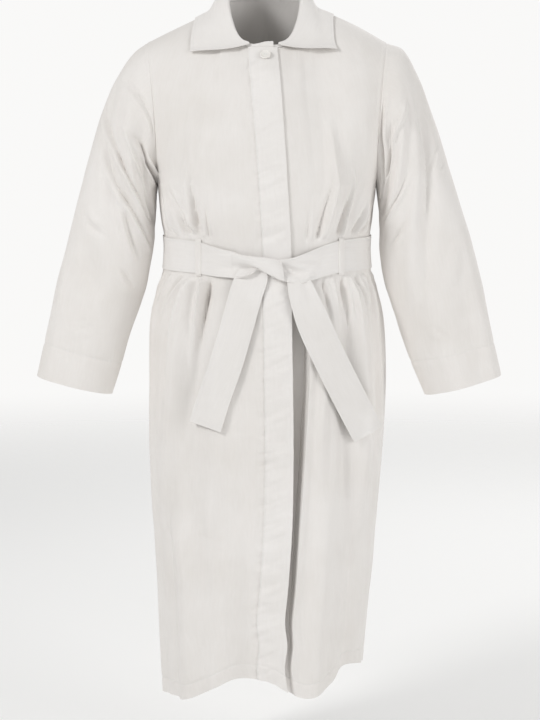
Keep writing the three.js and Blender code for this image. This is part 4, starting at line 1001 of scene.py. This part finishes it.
def shell(name, outer, inner, material, closed=False):
    """A closed wall between two grids of points, with its length along both as its UV map."""
    rows, columns = outer.shape[:2]
    spans = columns if closed else columns - 1
    wide = np.concatenate([outer, outer[:, :1]], 1) if closed else outer
    uv = np.stack([arc(wide, 1), arc(wide, 0)], -1)
    i, j = (a.ravel() for a in np.mgrid[0 : rows - 1, 0 : spans])

    def at(r, c):
        return r * columns + c % columns

    quad = np.stack([at(i, j), at(i, j + 1), at(i + 1, j + 1), at(i + 1, j)], -1)
    quad_uv = np.stack([uv[i, j], uv[i, j + 1], uv[i + 1, j + 1], uv[i + 1, j]], 1)
    below = rows * columns
    faces = [quad, quad[:, ::-1] + below]
    uvs = [quad_uv, quad_uv[:, ::-1]]

    def rim(r, c, r2, c2):
        faces.append(np.stack([at(r, c), at(r, c) + below, at(r2, c2) + below, at(r2, c2)], -1))
        uvs.append(np.stack([uv[r, c], uv[r, c], uv[r2, c2], uv[r2, c2]], 1))

    k = np.arange(spans)
    none = 0 * k
    rim(none, k, none, k + 1)
    rim(none + rows - 1, k + 1, none + rows - 1, k)
    if not closed:
        k = np.arange(rows - 1)
        none = 0 * k
        rim(k + 1, none, k, none)
        rim(k, none + columns - 1, k + 1, none + columns - 1)
    vertices = np.concatenate([outer.reshape(-1, 3), inner.reshape(-1, 3)])
    faces, uvs = np.concatenate(faces), np.concatenate(uvs)
    a, b, c, d = (vertices[faces[:, n]] for n in range(4))
    volume = (a * np.cross(b, c)).sum() + (a * np.cross(c, d)).sum()
    if volume < 0:
        faces, uvs = faces[:, ::-1], uvs[:, ::-1]
    return add_mesh(name, vertices, faces.tolist(), uvs.reshape(-1, 2), material)


def bvh_of(*grids):
    """A search tree over grids of points."""
    vertices, faces, base = [], [], 0
    for grid in grids:
        rows, columns = grid.shape[:2]
        i, j = (a.ravel() for a in np.mgrid[0 : rows - 1, 0 : columns - 1])
        corner = i * columns + j + base
        faces.append(np.stack([corner, corner + 1, corner + columns + 1, corner + columns], -1))
        vertices.append(grid.reshape(-1, 3))
        base += rows * columns
    return BVHTree.FromPolygons(np.concatenate(vertices).tolist(), np.concatenate(faces).tolist())


def finish_piece(piece, slot, node=None, **cut):
    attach(piece, "root")
    if node:
        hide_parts(node)
    return piece


STITCHES = []


def thread_ring(middle, side, high, axis):
    """A thread's section: four points round its middle."""
    return np.stack([middle + side, middle + high, middle - side, middle - high], axis)


def stitch(line, normals):
    """Adds a row of stitches along a line of points that lies on cloth."""
    run = arc(line, 0)
    starts = np.arange(STITCH_PITCH / 2, run[-1] - STITCH_LENGTH, STITCH_PITCH)
    out = unit(along_line(normals, run, starts + STITCH_LENGTH / 2))
    a = along_line(line, run, starts) + out * STITCH_LIFT
    b = along_line(line, run, starts + STITCH_LENGTH) + out * STITCH_LIFT
    side = unit(np.cross(b - a, out)) * THREAD
    high = out * THREAD
    ends = (0, 0.35), (0.25, 1), (0.75, 1), (1, 0.35)
    rings = [thread_ring(mix(a, b, share), side * size, high * size, 1) for share, size in ends]
    STITCHES.append(np.stack(rings, 1))


def stitches_piece(name, material):
    """All the stitches so far as one joined piece."""
    rings = np.concatenate(STITCHES)
    STITCHES.clear()
    count = len(rings)
    faces = []
    for ring in range(3):
        for k in range(4):
            n = (k + 1) % 4
            faces.append([4 * ring + k, 4 * ring + n, 4 * ring + 4 + n, 4 * ring + 4 + k])
    faces.append([3, 2, 1, 0])
    faces.append([12, 13, 14, 15])
    base = np.arange(count)[:, None, None] * 16
    whole = (np.array(faces)[None] + base).reshape(-1, 4)
    return add_mesh(name, rings.reshape(-1, 3), whole.tolist(), None, material, 80)


# Materials
def new_material(name):
    material = bpy.data.materials.new(name)
    material.use_nodes = True
    nodes, links = material.node_tree.nodes, material.node_tree.links
    return material, nodes, links, nodes["Principled BSDF"]


def noise(nodes, links, vector, scale, detail, distortion=0.0, stretch=(1, 1, 1)):
    mapping = nodes.new("ShaderNodeMapping")
    mapping.inputs["Scale"].default_value = stretch
    links.new(vector, mapping.inputs["Vector"])
    texture = nodes.new("ShaderNodeTexNoise")
    texture.inputs["Scale"].default_value = scale
    texture.inputs["Detail"].default_value = detail
    texture.inputs["Distortion"].default_value = distortion
    links.new(mapping.outputs["Vector"], texture.inputs["Vector"])
    return texture.outputs["Fac"]


def threads(nodes, links, vector, direction, per_metre):
    wave = nodes.new("ShaderNodeTexWave")
    wave.wave_type = "BANDS"
    wave.bands_direction = direction
    wave.inputs["Scale"].default_value = per_metre * math.pi / 20
    wave.inputs["Distortion"].default_value = 1.2
    wave.inputs["Detail"].default_value = 1
    wave.inputs["Detail Scale"].default_value = 0.6
    links.new(vector, wave.inputs["Vector"])
    return wave.outputs["Fac"]


def bump_node(nodes, links, height_socket, distance, strength, before=None):
    node = nodes.new("ShaderNodeBump")
    node.inputs["Distance"].default_value = distance
    node.inputs["Strength"].default_value = strength
    links.new(height_socket, node.inputs["Height"])
    if before:
        links.new(before, node.inputs["Normal"])
    return node.outputs["Normal"]


def math_node(nodes, links, operation, a, b):
    node = nodes.new("ShaderNodeMath")
    node.operation = operation
    for socket, value in zip(node.inputs, (a, b)):
        if isinstance(value, (int, float)):
            socket.default_value = value
        else:
            links.new(value, socket)
    return node.outputs[0]


def colour_ramp(nodes, links, factor, shader, colours, places=(0, 1)):
    """A base colour that goes from one colour to another with a factor."""
    ramp = nodes.new("ShaderNodeValToRGB")
    for stop, colour, place in zip(ramp.color_ramp.elements, colours, places):
        stop.position = place
        stop.color = (*colour, 1)
    links.new(factor, ramp.inputs["Fac"])
    links.new(ramp.outputs["Color"], shader.inputs["Base Color"])


def cloth_material(name, light, dark, crumple, thread_count=2200):
    """Plain-weave cotton: woven threads, slubs, a soft crumple and a slightly uneven white."""
    material, nodes, links, shader = new_material(name)
    place = nodes.new("ShaderNodeTexCoord")
    uv, body = place.outputs["UV"], place.outputs["Object"]
    tone = noise(nodes, links, body, 9, 4, 0.3)
    slub = noise(nodes, links, uv, 240, 3, 0.2, (1, 0.12, 1))
    spread = math_node(nodes, links, "MULTIPLY", slub, 0.35)
    both = math_node(nodes, links, "ADD", tone, spread)
    colour_ramp(nodes, links, both, shader, (dark, light), (0.42, 0.86))
    warp = threads(nodes, links, uv, "X", thread_count)
    weft = threads(nodes, links, uv, "Y", thread_count)
    weave = math_node(nodes, links, "MAXIMUM", warp, weft)
    first = bump_node(nodes, links, noise(nodes, links, body, 26, 5, 0.6), 0.004, crumple)
    second = bump_node(nodes, links, slub, 0.0006, 0.25, first)
    links.new(bump_node(nodes, links, weave, 0.00008, 0.35, second), shader.inputs["Normal"])
    shader.inputs["Roughness"].default_value = 0.82
    shader.inputs["Specular IOR Level"].default_value = 0.25
    shader.inputs["Sheen Weight"].default_value = 0.12
    shader.inputs["Sheen Roughness"].default_value = 0.5
    return material


def thread_material():
    material, nodes, links, shader = new_material("thread")
    place = nodes.new("ShaderNodeTexCoord")
    ply = threads(nodes, links, place.outputs["Object"], "DIAGONAL", 3000)
    links.new(bump_node(nodes, links, ply, 0.0001, 0.3), shader.inputs["Normal"])
    tone = noise(nodes, links, place.outputs["Object"], 300, 2)
    colour_ramp(nodes, links, tone, shader, ((0.74, 0.735, 0.72), (0.84, 0.84, 0.83)))
    shader.inputs["Roughness"].default_value = 0.6
    return material


def pearl_material():
    material, nodes, links, shader = new_material("pearl")
    place = nodes.new("ShaderNodeTexCoord")
    swirl = noise(nodes, links, place.outputs["Object"], 90, 3, 1.5)
    colour_ramp(nodes, links, swirl, shader, ((0.80, 0.77, 0.72), (0.90, 0.88, 0.85)))
    links.new(bump_node(nodes, links, swirl, 0.0003, 0.15), shader.inputs["Normal"])
    shader.inputs["Roughness"].default_value = 0.3
    shader.inputs["Coat Weight"].default_value = 0.35
    return material


COTTON = cloth_material("cotton", (0.825, 0.8, 0.776), (0.775, 0.746, 0.714), 0.16)
DOUBLE = cloth_material("cotton_double", (0.85, 0.828, 0.808), (0.80, 0.774, 0.748), 0.14)
BAND = cloth_material("band", (0.832, 0.81, 0.79), (0.782, 0.758, 0.732), 0.12)
THREAD_WHITE = thread_material()
PEARL = pearl_material()


# Body
over, under, back = front_panel(-1), front_panel(1), back_panel()
for seed, panel in ((10, over), (20, under), (30, back)):
    dress(panel, seed)


def panel_shell(name, panel, cut):
    thick = SHELL + HEM_EXTRA * (panel["above_hem"] < HEM_DEPTH)
    inner = panel["grid"] - panel["normals"] * thick[..., None]
    piece = shell(name, panel["grid"], inner, COTTON)
    return finish_piece(piece, "cloth", name, held="hung", rests_on=["collar_stand"], **cut)


panel_shell("front_right", over, {"flat": (0.37, 1.31), "area": 0.42})
panel_shell("front_left", under, {"flat": (0.36, 1.31), "area": 0.39})
panel_shell("back", back, {"flat": (0.62, 1.33), "area": 0.74})
hem_row = HEM_LINES.index(HEM_DEPTH)
for panel in (over, under, back):
    stitch(panel["grid"][hem_row], panel["normals"][hem_row])


# Placket: the over front's first columns, moved out, with a folded free edge
def placket():
    columns = over["column"] <= PLACKET_COLUMNS + 0.001
    grid, normals = over["grid"][:, columns], over["normals"][:, columns]
    edge = np.exp(-(((over["column"][columns] - PLACKET_COLUMNS) * PLACKET_WIDTH / 2 / 2) ** 2))
    high = grid + normals * (LAPPED - 0.9 * edge)[None, :, None]
    piece = shell("placket", high, grid + normals * SEWN_DOWN, DOUBLE)
    cut = {"flat": (0.052, 1.2), "held": "hung", "rests_on": ["front_right"]}
    finish_piece(piece, "cloth", "placket", **cut)
    stitched = len(edge) - 3
    stitch(high[:, stitched], normals[:, stitched])
    return high, normals


placket_high, placket_normals = placket()


# Sleeves
SLEEVE_SIDES = 168
SLEEVE_ROWS = 176
CAP_LINES = np.array([0, 1.2, 2.6])  # below the armhole's seam
CUFF_LINES = np.array([3, 1, 0, -1, -3])  # above the cuff's stitching
END_LINES = np.array([2.4, 1.0, 0])  # above the cuff's edge


def sleeve(name):
    spec = SLEEVES[name]
    side = spec["side"]
    around = np.linspace(0, 360, SLEEVE_SIDES, endpoint=False)
    length = SLEEVE_LENGTH
    cuff = 1 - (CUFF_DEPTH + CUFF_LINES) / length
    down = [
        CAP_LINES / length,
        np.linspace(6 / length, cuff[0], SLEEVE_ROWS, endpoint=False),
        cuff,
        np.linspace(cuff[-1], 1, 12)[1:-1],
        1 - END_LINES / length,
    ]
    down = np.concatenate(down)[:, None]
    plain = sleeve_point(spec, down, around)
    out = facing(normals_of(plain, True), plain - plain.mean(1, keepdims=True))
    lift = 0.0
    for start, first, end, last, wide, depth, fade in spec["folds"]:
        t = (down - first) / (last - first)
        off = wrap(around - mix(start, end, t)) / wide
        shape = bump(off) * ease((down - first) / fade) * ease((last - down) / fade)
        lift = lift + np.where((t > 0) & (t < 1), depth * shape, 0)
    lines = spec["creases"]
    lines = [([(a * SLEEVE_AROUND, d * length) for a, d in line], *rest) for line, *rest in lines]
    turned = (around + 60) % 360 - 60
    creases = SLEEVE_GAIN * crease_sum(lines, turned[None] * SLEEVE_AROUND, down * length)
    lift = lift + creases * ease(down * length / 12)
    seed = 50 if side < 0 else 60
    ring = np.arange(len(around)) * 64 / len(around)
    uneven = lattice(ring / 4, down * 9, seed) + 0.5 * lattice(ring / 2, down * 26, seed + 1)
    wave = lattice(ring, down * 30, seed + 2)
    from_stitch = (down - (1 - CUFF_DEPTH / length)) * length
    near_cuff = np.exp(-((from_stitch / 18) ** 2))
    near_cap = np.exp(-((down * length / 22) ** 2)) * ease(down * length / 8)
    lift = lift + CUFF_PUCKER * (uneven * ease(down / 0.05) + wave * near_cuff)
    lift = lift + CAP_PUCKER * wave * near_cap
    lift = lift - STITCH_DIP * np.exp(-((from_stitch / DIP_WIDE) ** 2))
    lift = lift + seam_swell(down * length)
    grid = plain + out * lift[..., None]
    normals = facing(normals_of(grid, True), out)
    thick = SHELL + HEM_EXTRA * (down > 1 - CUFF_DEPTH / length)
    piece = shell(name, grid, grid - normals * thick[..., None], COTTON, closed=True)
    body = "front_right" if side < 0 else "front_left"
    cut = {"flat": (0.56, 0.68), "area": 0.25, "held": "hung", "rests_on": [body, "back"]}
    finish_piece(piece, "cloth", name, **cut)
    row = len(CAP_LINES) + SLEEVE_ROWS + list(CUFF_LINES).index(0)
    stitch(*(np.concatenate([values[row], values[row, :1]]) for values in (grid, normals)))


for name in SLEEVES:
    sleeve(name)


# Collar
STAND_COLUMNS = 130
STAND_ROWS = 9
LEAF_LENGTHWAYS = 170
LEAF_ACROSS = 46
LEAF_ROLLED = 14  # of these, in the roll that lies over the stand
LEAF_STITCHED = 5  # a row of stitches this far in from the edge


def collar_at(angle, name):
    return read(COLLAR, np.abs(wrap(angle)), name)


def neck_line():
    """The panels' neck edges from the under front's end, round the back, to the over front's."""

    def neck(panel):
        return panel["grid"][-1][panel["column"] <= NECK_COLUMNS + 0.001]

    middle = back["grid"][-1][np.abs(back["column"]) < BACK_NECK_COLUMNS]
    line = np.concatenate([neck(under), middle, neck(over)[::-1]])
    run = arc(line, 0)
    places = np.linspace(0, run[-1] - STAND_INSET * PLACKET_WIDTH / 2, STAND_COLUMNS)
    return along_line(line, run, places)


def stand():
    line = neck_line()
    out = points(line[:, 0] - NECK_CENTRE, line[:, 1] - SHOULDER_Y, 0)
    angle = np.degrees(np.arctan2(out[:, 0], -out[:, 1]))
    out = unit(out)[:, None]
    share = np.linspace(0, 1, STAND_ROWS)[None, :, None]
    run = arc(line, 0)
    lapped_end = LAP_RISE * ease(1 - (run[-1] - run) / LAP_WIDE)
    rise = (collar_at(angle, "stand") + lapped_end)[:, None, None] * share
    lean = collar_at(angle, "lean")[:, None, None] * share
    outer = line[:, None] - out * lean + UPWARD * (rise + STAND_LIFT)
    piece = shell("collar_stand", outer, outer - out * STAND_WALL, DOUBLE)
    cut = {"flat": (0.5, 0.042), "area": 0.0115, "held": "stretched", "rests_on": ["back"]}
    finish_piece(piece, "cloth", "collar_stand", **cut)
    stitch(outer[:, STAND_ROWS - 2], out[:, 0])


def leaf():
    robe_top = bvh_of(*(p["grid"][150:] for p in (over, under, back)))
    share = np.linspace(0, 1, LEAF_COLUMNS + 1)
    angle = mix(LEAF_FROM, LEAF_TO, share)
    a = np.radians(angle)
    out = points(np.sin(a), -np.cos(a), 0)
    stand_height = collar_at(angle, "stand")
    full = mix(ROLL_LEAST, 1, np.minimum(1, stand_height / ROLL_FULL))
    lapped = LAPPED * ease(1 - share / LEAF_LAP)
    rim = neck_point(angle) + out * (lapped - collar_at(angle, "lean"))[:, None]
    rim = rim + UPWARD * (STAND_LIFT + stand_height)[:, None]
    profile = [rim + out * (o * full)[:, None] + UPWARD * u for o, u in ROLL]
    edge = points(
        COLLAR_SHIFT + np.sign(np.sin(a)) * collar_at(angle, "edgeX"),
        collar_at(angle, "edgeY"),
        collar_at(angle, "edgeZ") + COLLAR_TILT * np.sin(a) * np.abs(np.cos(a)),
    )
    high = ease((np.abs(wrap(angle)) - 30) / 50)[:, None]
    away = unit(out + UPWARD * high)
    for k in range(1, FALL_STEPS + 1):
        arch = math.sin(math.pi * k / FALL_STEPS)
        rise = mix(-FALL_SAG * (1 - k / FALL_STEPS), FALL_UP, high)
        bulge = (out * FALL_OUT + UPWARD * rise) * arch
        profile.append(mix(profile[len(ROLL) - 1], edge, k / FALL_STEPS) + bulge)
    grid = smooth_line(np.stack(profile, 1), LEAF_LENGTHWAYS)
    grid = smooth_line(np.swapaxes(grid, 0, 1), LEAF_ACROSS)
    grid = np.swapaxes(grid, 0, 1)
    away = smooth_line(away, LEAF_LENGTHWAYS)
    gap = LEAF_LIFT + 1.6
    for _ in range(3):
        move = np.zeros(grid.shape[:2])
        for i in range(grid.shape[0]):
            for k in range(LEAF_ROLLED, grid.shape[1]):
                where, normal, _, _ = robe_top.find_nearest(Vector(grid[i, k]))
                if normal.dot(Vector(away[i])) < 0:
                    normal = -normal
                height_over = (Vector(grid[i, k]) - where).dot(normal)
                move[i, k] = max(0, gap - height_over)
        for _ in range(6):
            move = blur(move)
        grid = grid + away[:, None] * move[..., None]
    normals = normals_of(grid)
    if (normals[:, 20:] * away[:, None]).sum() < 0:
        normals = -normals
    wave = lattice(arc(grid, 0) / 30, arc(grid, 1) / 30, 80)
    grid = grid + normals * (0.5 * wave * ease(np.linspace(-0.6, 1, grid.shape[1])))[..., None]
    piece = shell("collar_leaf", grid, grid - normals * LEAF_WALL, DOUBLE)
    cut = {"flat": (0.62, 0.1), "area": 0.054, "held": "folded", "rests_on": ["collar_stand"]}
    finish_piece(piece, "cloth", "collar_leaf", **cut)
    run = arc(grid, 1)[LEAF_LENGTHWAYS // 2]
    row = int(np.argmin(np.abs(run[-1] - run - LEAF_STITCHED)))
    sides = [int(np.argmin(np.abs(arc(grid, 0)[:, -1] - LEAF_STITCHED)))]
    sides.append(grid.shape[0] - 1 - sides[0])
    stitch(grid[sides[0] : sides[1] + 1, row], normals[sides[0] : sides[1] + 1, row])
    for column in sides:
        stitch(grid[column, 10 : row + 1], normals[column, 10 : row + 1])


stand()
leaf()


# Belt
BAND_LINES = ("top", "crown", "fold", "trough", "lip")
BAND_START = 19.0  # x of the strand that the crossing lies over
BAND_HEIGHT = -478.0


def belt_round():
    end_x = float(CROSSING_START)
    start, end = front_angle(BAND_START, BAND_HEIGHT), 360 + front_angle(end_x, BAND_HEIGHT)
    share = np.linspace(-0.5, 0.5, 15)[None]
    end_z = belt_middle(end) + read(BELT_TAPER, end_x, "drop")
    end_line = 360 + front_angle(end_x, end_z + share * read(BELT_TAPER, end_x, "width"))
    angle = mix(start, end_line, np.linspace(0, 1, 250)[:, None])
    at_x = form_point(angle, belt_middle(angle))[..., 0]
    front = np.cos(np.radians(angle)) > 0
    width = np.where(front, read(BELT_TAPER, at_x, "width"), BELT_WIDTH)
    z = belt_middle(angle) + np.where(front, read(BELT_TAPER, at_x, "drop"), 0) + share * width
    form, normal = form_point(angle, z), form_normal(angle, z)
    rise = np.where(front, read(BELT_RISE, form[..., 0], "lift"), BELT_LIFT)
    wave = lattice(angle / 5, share * 2 + 5, 90) + 0.5 * lattice(angle / 2.2, share * 3 + 9, 91)
    free = ease((angle - start) / 8) * ease((end - angle) / 8)
    for x in LOOPS.values():
        free = free * (1 - front * np.exp(-(((form[..., 0] - x) / 12) ** 2)))
    rise = rise + 0.5 * (wave + 0.8) * free
    rise = rise + crease_sum(KNOT_CREASES, form[..., 0], z) * front * (form[..., 0] > 0)
    # Towards the crossing the band takes on its first section
    first = [[read(CROSSING, end_x, name + kind) for name in BAND_LINES] for kind in ("", "Lift")]
    section = np.interp(-z, -np.array(first[0]), first[1]) - BELT_CLOTH
    join = ease(1 - (CROSSING_START - form[..., 0]) / JOIN_WIDE) * front * (form[..., 0] < 0)
    rise = mix(rise, section, join)
    inner = form + normal * rise[..., None]
    outer = inner + normal * BELT_CLOTH
    piece = shell("belt_round", outer, inner, BAND)
    rests_on = ["front_left", "back", "front_right"]
    cut = {"flat": (1.06, 0.06), "held": "stretched", "rests_on": rests_on}
    finish_piece(piece, "belt", "belt_round", **cut)
    for row in (1, 13):
        stitch(outer[:, row], np.broadcast_to(normal, outer.shape)[:, row])


def crossing():
    x = np.linspace(CROSSING_START, CROSSING["x"].max(), 80)
    z = np.stack([read(CROSSING, x, name) for name in BAND_LINES], 1)
    lift = np.stack([read(CROSSING, x, name + "Lift") for name in BAND_LINES], 1)
    roll = ease((x - x[0]) / 12)[:, None]
    z = np.concatenate([z[:, :1] - 2.5 * roll, z, z[:, -1:] + 2.5 * roll], 1)
    lift = np.concatenate([lift[:, :1] - 4 * roll, lift, lift[:, -1:] - 4 * roll], 1)
    z[0, 0], z[0, -1] = z[0, 1] + 0.5, z[0, -2] - 0.5
    across = smooth_line(np.stack([z.T, lift.T], -1), 44)
    z, lift = across[..., 0].T, across[..., 1].T
    share = np.linspace(-1, 1, z.shape[1])[None]
    x = x[:, None] + share * read(CROSSING, x, "slant")[:, None]
    wave = lattice(x / 14, share * 2.4 + 5, 95) * roll
    angle = front_angle(x, z)
    outer = form_point(angle, z) + form_normal(angle, z) * (lift + 0.6 * wave)[..., None]
    normals = facing(normals_of(outer), FORWARD)
    piece = shell("belt_crossing", outer, outer - normals * BELT_CLOTH, BAND)
    cut = {"flat": (0.105, 0.06), "held": "folded", "rests_on": ["belt_round"]}
    finish_piece(piece, "belt", "belt_crossing", **cut)


TAIL_ROWS = 90
TAIL_COLUMNS = 17


def robe_front_tree():
    grids = [over["grid"][:, ::3], under["grid"][:, ::2], placket_high[:, ::2]]
    return bvh_of(*(g[::3] for g in grids))


def tail(name, tree):
    spec = TAILS[name]
    rows, columns = TAIL_ROWS, TAIL_COLUMNS
    z = np.linspace(spec["z"].max(), spec["z"].min(), rows)[:, None]
    at = {key: read(spec, z, key) for key in ("x", "lift", "turn", "width")}
    turn = np.radians(at["turn"])
    w = np.linspace(-0.5, 0.5, columns)[None] * at["width"]

    def form_y(x):
        return form_point(front_angle(x, z), z)[..., 1]

    slant = np.clip(form_y(at["x"] + 1) - form_y(at["x"]), -TAIL_SLANT, TAIL_SLANT)
    x = at["x"] + w * np.cos(turn)
    high = z - w * np.sin(turn)
    felt = np.full(x.shape, 1e3)
    for i in range(rows):
        for j in range(columns):
            for dx, dz in ((0, 0), (-1, 0), (1, 0), (0, -1), (0, 1)):
                start = x[i, j] + dx * TAIL_REACH, -1000, high[i, j] + dz * TAIL_REACH
                hit = tree.ray_cast(Vector(start), Vector(-FORWARD))
                if hit[0]:
                    felt[i, j] = min(felt[i, j], hit[0].y)
    y = np.minimum(form_y(at["x"]) - at["lift"] + slant * w, felt - TAIL_CLEAR - BELT_CLOTH)
    for _ in range(8):
        y = blur(y)
    y = y - 0.6
    share = np.linspace(0, 1, rows)[:, None]
    across = np.linspace(-1, 1, columns)[None]
    right = name.endswith("right")
    gather = 1.8 * np.cos(across * 4.5 + 0.8) + 1.2 * np.cos(across * 8)
    gather = np.exp(-share * 9) * gather * (0.3 if right else 1)
    seed = 100 if right else 110
    wave = lattice(share * 7, across * 0.7 + 4, seed)
    wave = wave + 0.5 * lattice(share * 19, across * 1.1 + 9, seed + 1)
    grid = points(x, y - gather - 1.3 * wave, high)
    normals = facing(normals_of(grid), FORWARD)
    piece = shell(name, grid, grid - normals * BELT_CLOTH, BAND)
    cut = {"flat": (0.06, 0.31), "area": 0.0179, "held": "hung", "rests_on": ["belt_crossing"]}
    finish_piece(piece, "belt", name, **cut)
    for column in (1, columns - 2):
        stitch(grid[:-2, column], normals[:-2, column])
    stitch(grid[-3], normals[-3])


def loop(name):
    x = LOOPS[name]
    middle = belt_middle(front_angle(float(x), BELT["z"][1]))
    down = np.linspace(0, 1, 40)[:, None]
    z = middle + BELT_HOLD * (0.5 - down)
    share = np.linspace(-0.5, 0.5, 7)[None]
    angle = front_angle(x + share * LOOP_WIDTH, z)
    normal = form_normal(angle, z)
    lift = read(LOOP_PROFILE, down, "lift") - 1.1 * (2 * share) ** 4
    inner = form_point(angle, z) + normal * (lift - 0.3)[..., None]
    outer = form_point(angle, z) + normal * (lift + 1.1)[..., None]
    piece = shell(name, outer, inner, COTTON)
    finish_piece(piece, "cloth", name, flat=(0.01, 0.076), held="stretched", rests_on=["belt_round"])


belt_round()
crossing()
front_tree = robe_front_tree()
for name in TAILS:
    tail(name, front_tree)
for name in LOOPS:
    loop(name)
finish_piece(stitches_piece("stitching", THREAD_WHITE), "cloth")


# Button: a low disc with a raised rim, and its thread
BUTTON_SIDES = 64
BUTTON_THREAD = 0.3  # radius
# How far out and how high: the back, the rim, the hollow inside it
BUTTON_PROFILE = (
    *((0, 0), (8.6, 0), (9.7, 0.7), (10, 1.6), (9.7, 2.6)),
    *((8.7, 3.2), (7.6, 3.1), (6.6, 2.5), (5, 2.2), (0, 2.2)),
)


def button():
    fall = arc(placket_high[::-1], 0)
    from_middle = (1 - over["column"][: placket_high.shape[1]]) * PLACKET_WIDTH / 2
    middle = int(np.argmin(np.abs(from_middle - BUTTON_SHIFT)))
    row = len(placket_high) - 1 - int(np.argmin(np.abs(fall[:, middle] - BUTTON_DROP)))
    out = unit(placket_normals[row, middle])
    seat = placket_high[row, middle] + out * BUTTON_LIFT
    out = unit(out - UPWARD * BUTTON_LEAN)
    sides = BUTTON_SIDES
    across = unit(np.cross(out, UPWARD))
    up = np.cross(across, out)
    turn = np.linspace(0, 2 * np.pi, sides, endpoint=False)
    ring = np.cos(turn)[:, None] * across + np.sin(turn)[:, None] * up
    outer = smooth_line(np.array(BUTTON_PROFILE, float), 60)
    vertices = [seat + out * outer[0, 1]]
    for radius, rise in outer[1:-1]:
        vertices.extend(seat + ring * max(radius, 0.05) + out * rise)
    vertices.append(seat + out * outer[-1, 1])
    faces = [[0, 1 + (k + 1) % sides, 1 + k] for k in range(sides)]
    for r in range(len(outer) - 3):
        for k in range(sides):
            n = (k + 1) % sides
            a, b = 1 + r * sides, 1 + (r + 1) * sides
            faces.append([a + k, a + n, b + n, b + k])
    last = 1 + (len(outer) - 3) * sides
    faces.extend([len(vertices) - 1, last + k, last + (k + 1) % sides] for k in range(sides))
    piece = add_mesh("button", np.array(vertices), faces, None, PEARL, 60)
    finish_piece(piece, "button", "button")
    for sign in (-1, 1):
        line = [seat + across * 1.9 * sign + up * s + out * 2.35 for s in (-1.9, -0.6, 0.6, 1.9)]
        line = np.array(line)
        for shift in (-BUTTON_THREAD, BUTTON_THREAD):
            stitch_thread(line + across * shift, out)


def stitch_thread(line, out):
    """One thick thread of the button."""
    side = unit(np.cross(line[-1] - line[0], out)) * BUTTON_THREAD
    high = out * BUTTON_THREAD
    rings = [thread_ring(p, side * s, high * s, 0) for p, s in zip(line, (0.5, 1, 1, 0.5))]
    STITCHES.append(np.stack(rings)[None])


button()
finish_piece(stitches_piece("button_thread", THREAD_WHITE), "cloth")


# Camera, floor and light
IMAGE_HEIGHT = 720
FOCAL_PIXELS = 1805
CAMERA = (5.7, -3400, -250)
PITCH = 7  # degrees down
SENSOR = 36
FLOOR = -1470
AMBIENT = 0.5
BACKDROP = 0.95

camera_data = bpy.data.cameras.new("camera")
camera_data.sensor_width = SENSOR
camera_data.lens = FOCAL_PIXELS / IMAGE_HEIGHT * SENSOR
camera = bpy.data.objects.new("camera", camera_data)
camera.location = Vector(CAMERA) * MM
camera.rotation_euler = (math.radians(90 - PITCH), 0, 0)
bpy.context.scene.collection.objects.link(camera)
bpy.context.scene.camera = camera


def stage_floor():
    """A pale round floor that fades out into the backdrop."""
    place = (0, 0, FLOOR * MM)
    bpy.ops.mesh.primitive_circle_add(vertices=96, radius=6, fill_type="NGON", location=place)
    floor = bpy.context.object
    floor.name = "floor"
    material, nodes, links, shader = new_material("floor")
    shader.inputs["Base Color"].default_value = (0.93, 0.93, 0.925, 1)
    shader.inputs["Roughness"].default_value = 0.9
    shader.inputs["Specular IOR Level"].default_value = 0.1
    place = nodes.new("ShaderNodeTexCoord")
    mapping = nodes.new("ShaderNodeMapping")
    mapping.inputs["Scale"].default_value = (1 / 5.5, 1 / 5.5, 1)
    links.new(place.outputs["Object"], mapping.inputs["Vector"])
    radial = nodes.new("ShaderNodeTexGradient")
    radial.gradient_type = "SPHERICAL"
    links.new(mapping.outputs["Vector"], radial.inputs["Vector"])
    fade = nodes.new("ShaderNodeMapRange")
    fade.interpolation_type = "SMOOTHSTEP"
    fade.inputs["From Min"].default_value = 0.0
    fade.inputs["From Max"].default_value = 0.6
    links.new(radial.outputs["Fac"], fade.inputs["Value"])
    links.new(fade.outputs["Result"], shader.inputs["Alpha"])
    floor.data.materials.append(material)


def area_light(name, place, target, size, power_watts, color=(1, 1, 1)):
    data = bpy.data.lights.new(name, "AREA")
    data.shape = "DISK"
    data.size = size
    data.energy = power_watts
    data.color = color
    lamp = bpy.data.objects.new(name, data)
    lamp.location = place
    lamp.rotation_euler = (Vector(target) - Vector(place)).to_track_quat("-Z", "Y").to_euler()
    bpy.context.scene.collection.objects.link(lamp)


def studio_world():
    """An even soft light, seen as a near-white backdrop."""
    world = bpy.data.worlds.new("studio")
    world.use_nodes = True
    nodes, links = world.node_tree.nodes, world.node_tree.links
    background = nodes["Background"]
    background.inputs["Color"].default_value = (1.0, 0.995, 0.985, 1)
    path = nodes.new("ShaderNodeLightPath")
    strength = nodes.new("ShaderNodeMapRange")
    strength.inputs["To Min"].default_value = AMBIENT
    strength.inputs["To Max"].default_value = BACKDROP
    links.new(path.outputs["Is Camera Ray"], strength.inputs["Value"])
    links.new(strength.outputs["Result"], background.inputs["Strength"])
    bpy.context.scene.world = world


stage_floor()
area_light("key", (-3.0, -2.6, 1.9), (0, 0, -0.55), 1.2, 80)
area_light("fill", (3.3, -2.6, 0.3), (0.1, 0, -0.6), 2.4, 48)
area_light("back", (1.5, 3.0, 1.8), (0, 0, -0.5), 2.0, 60)
studio_world()
bpy.context.scene.view_settings.view_transform = "Standard"
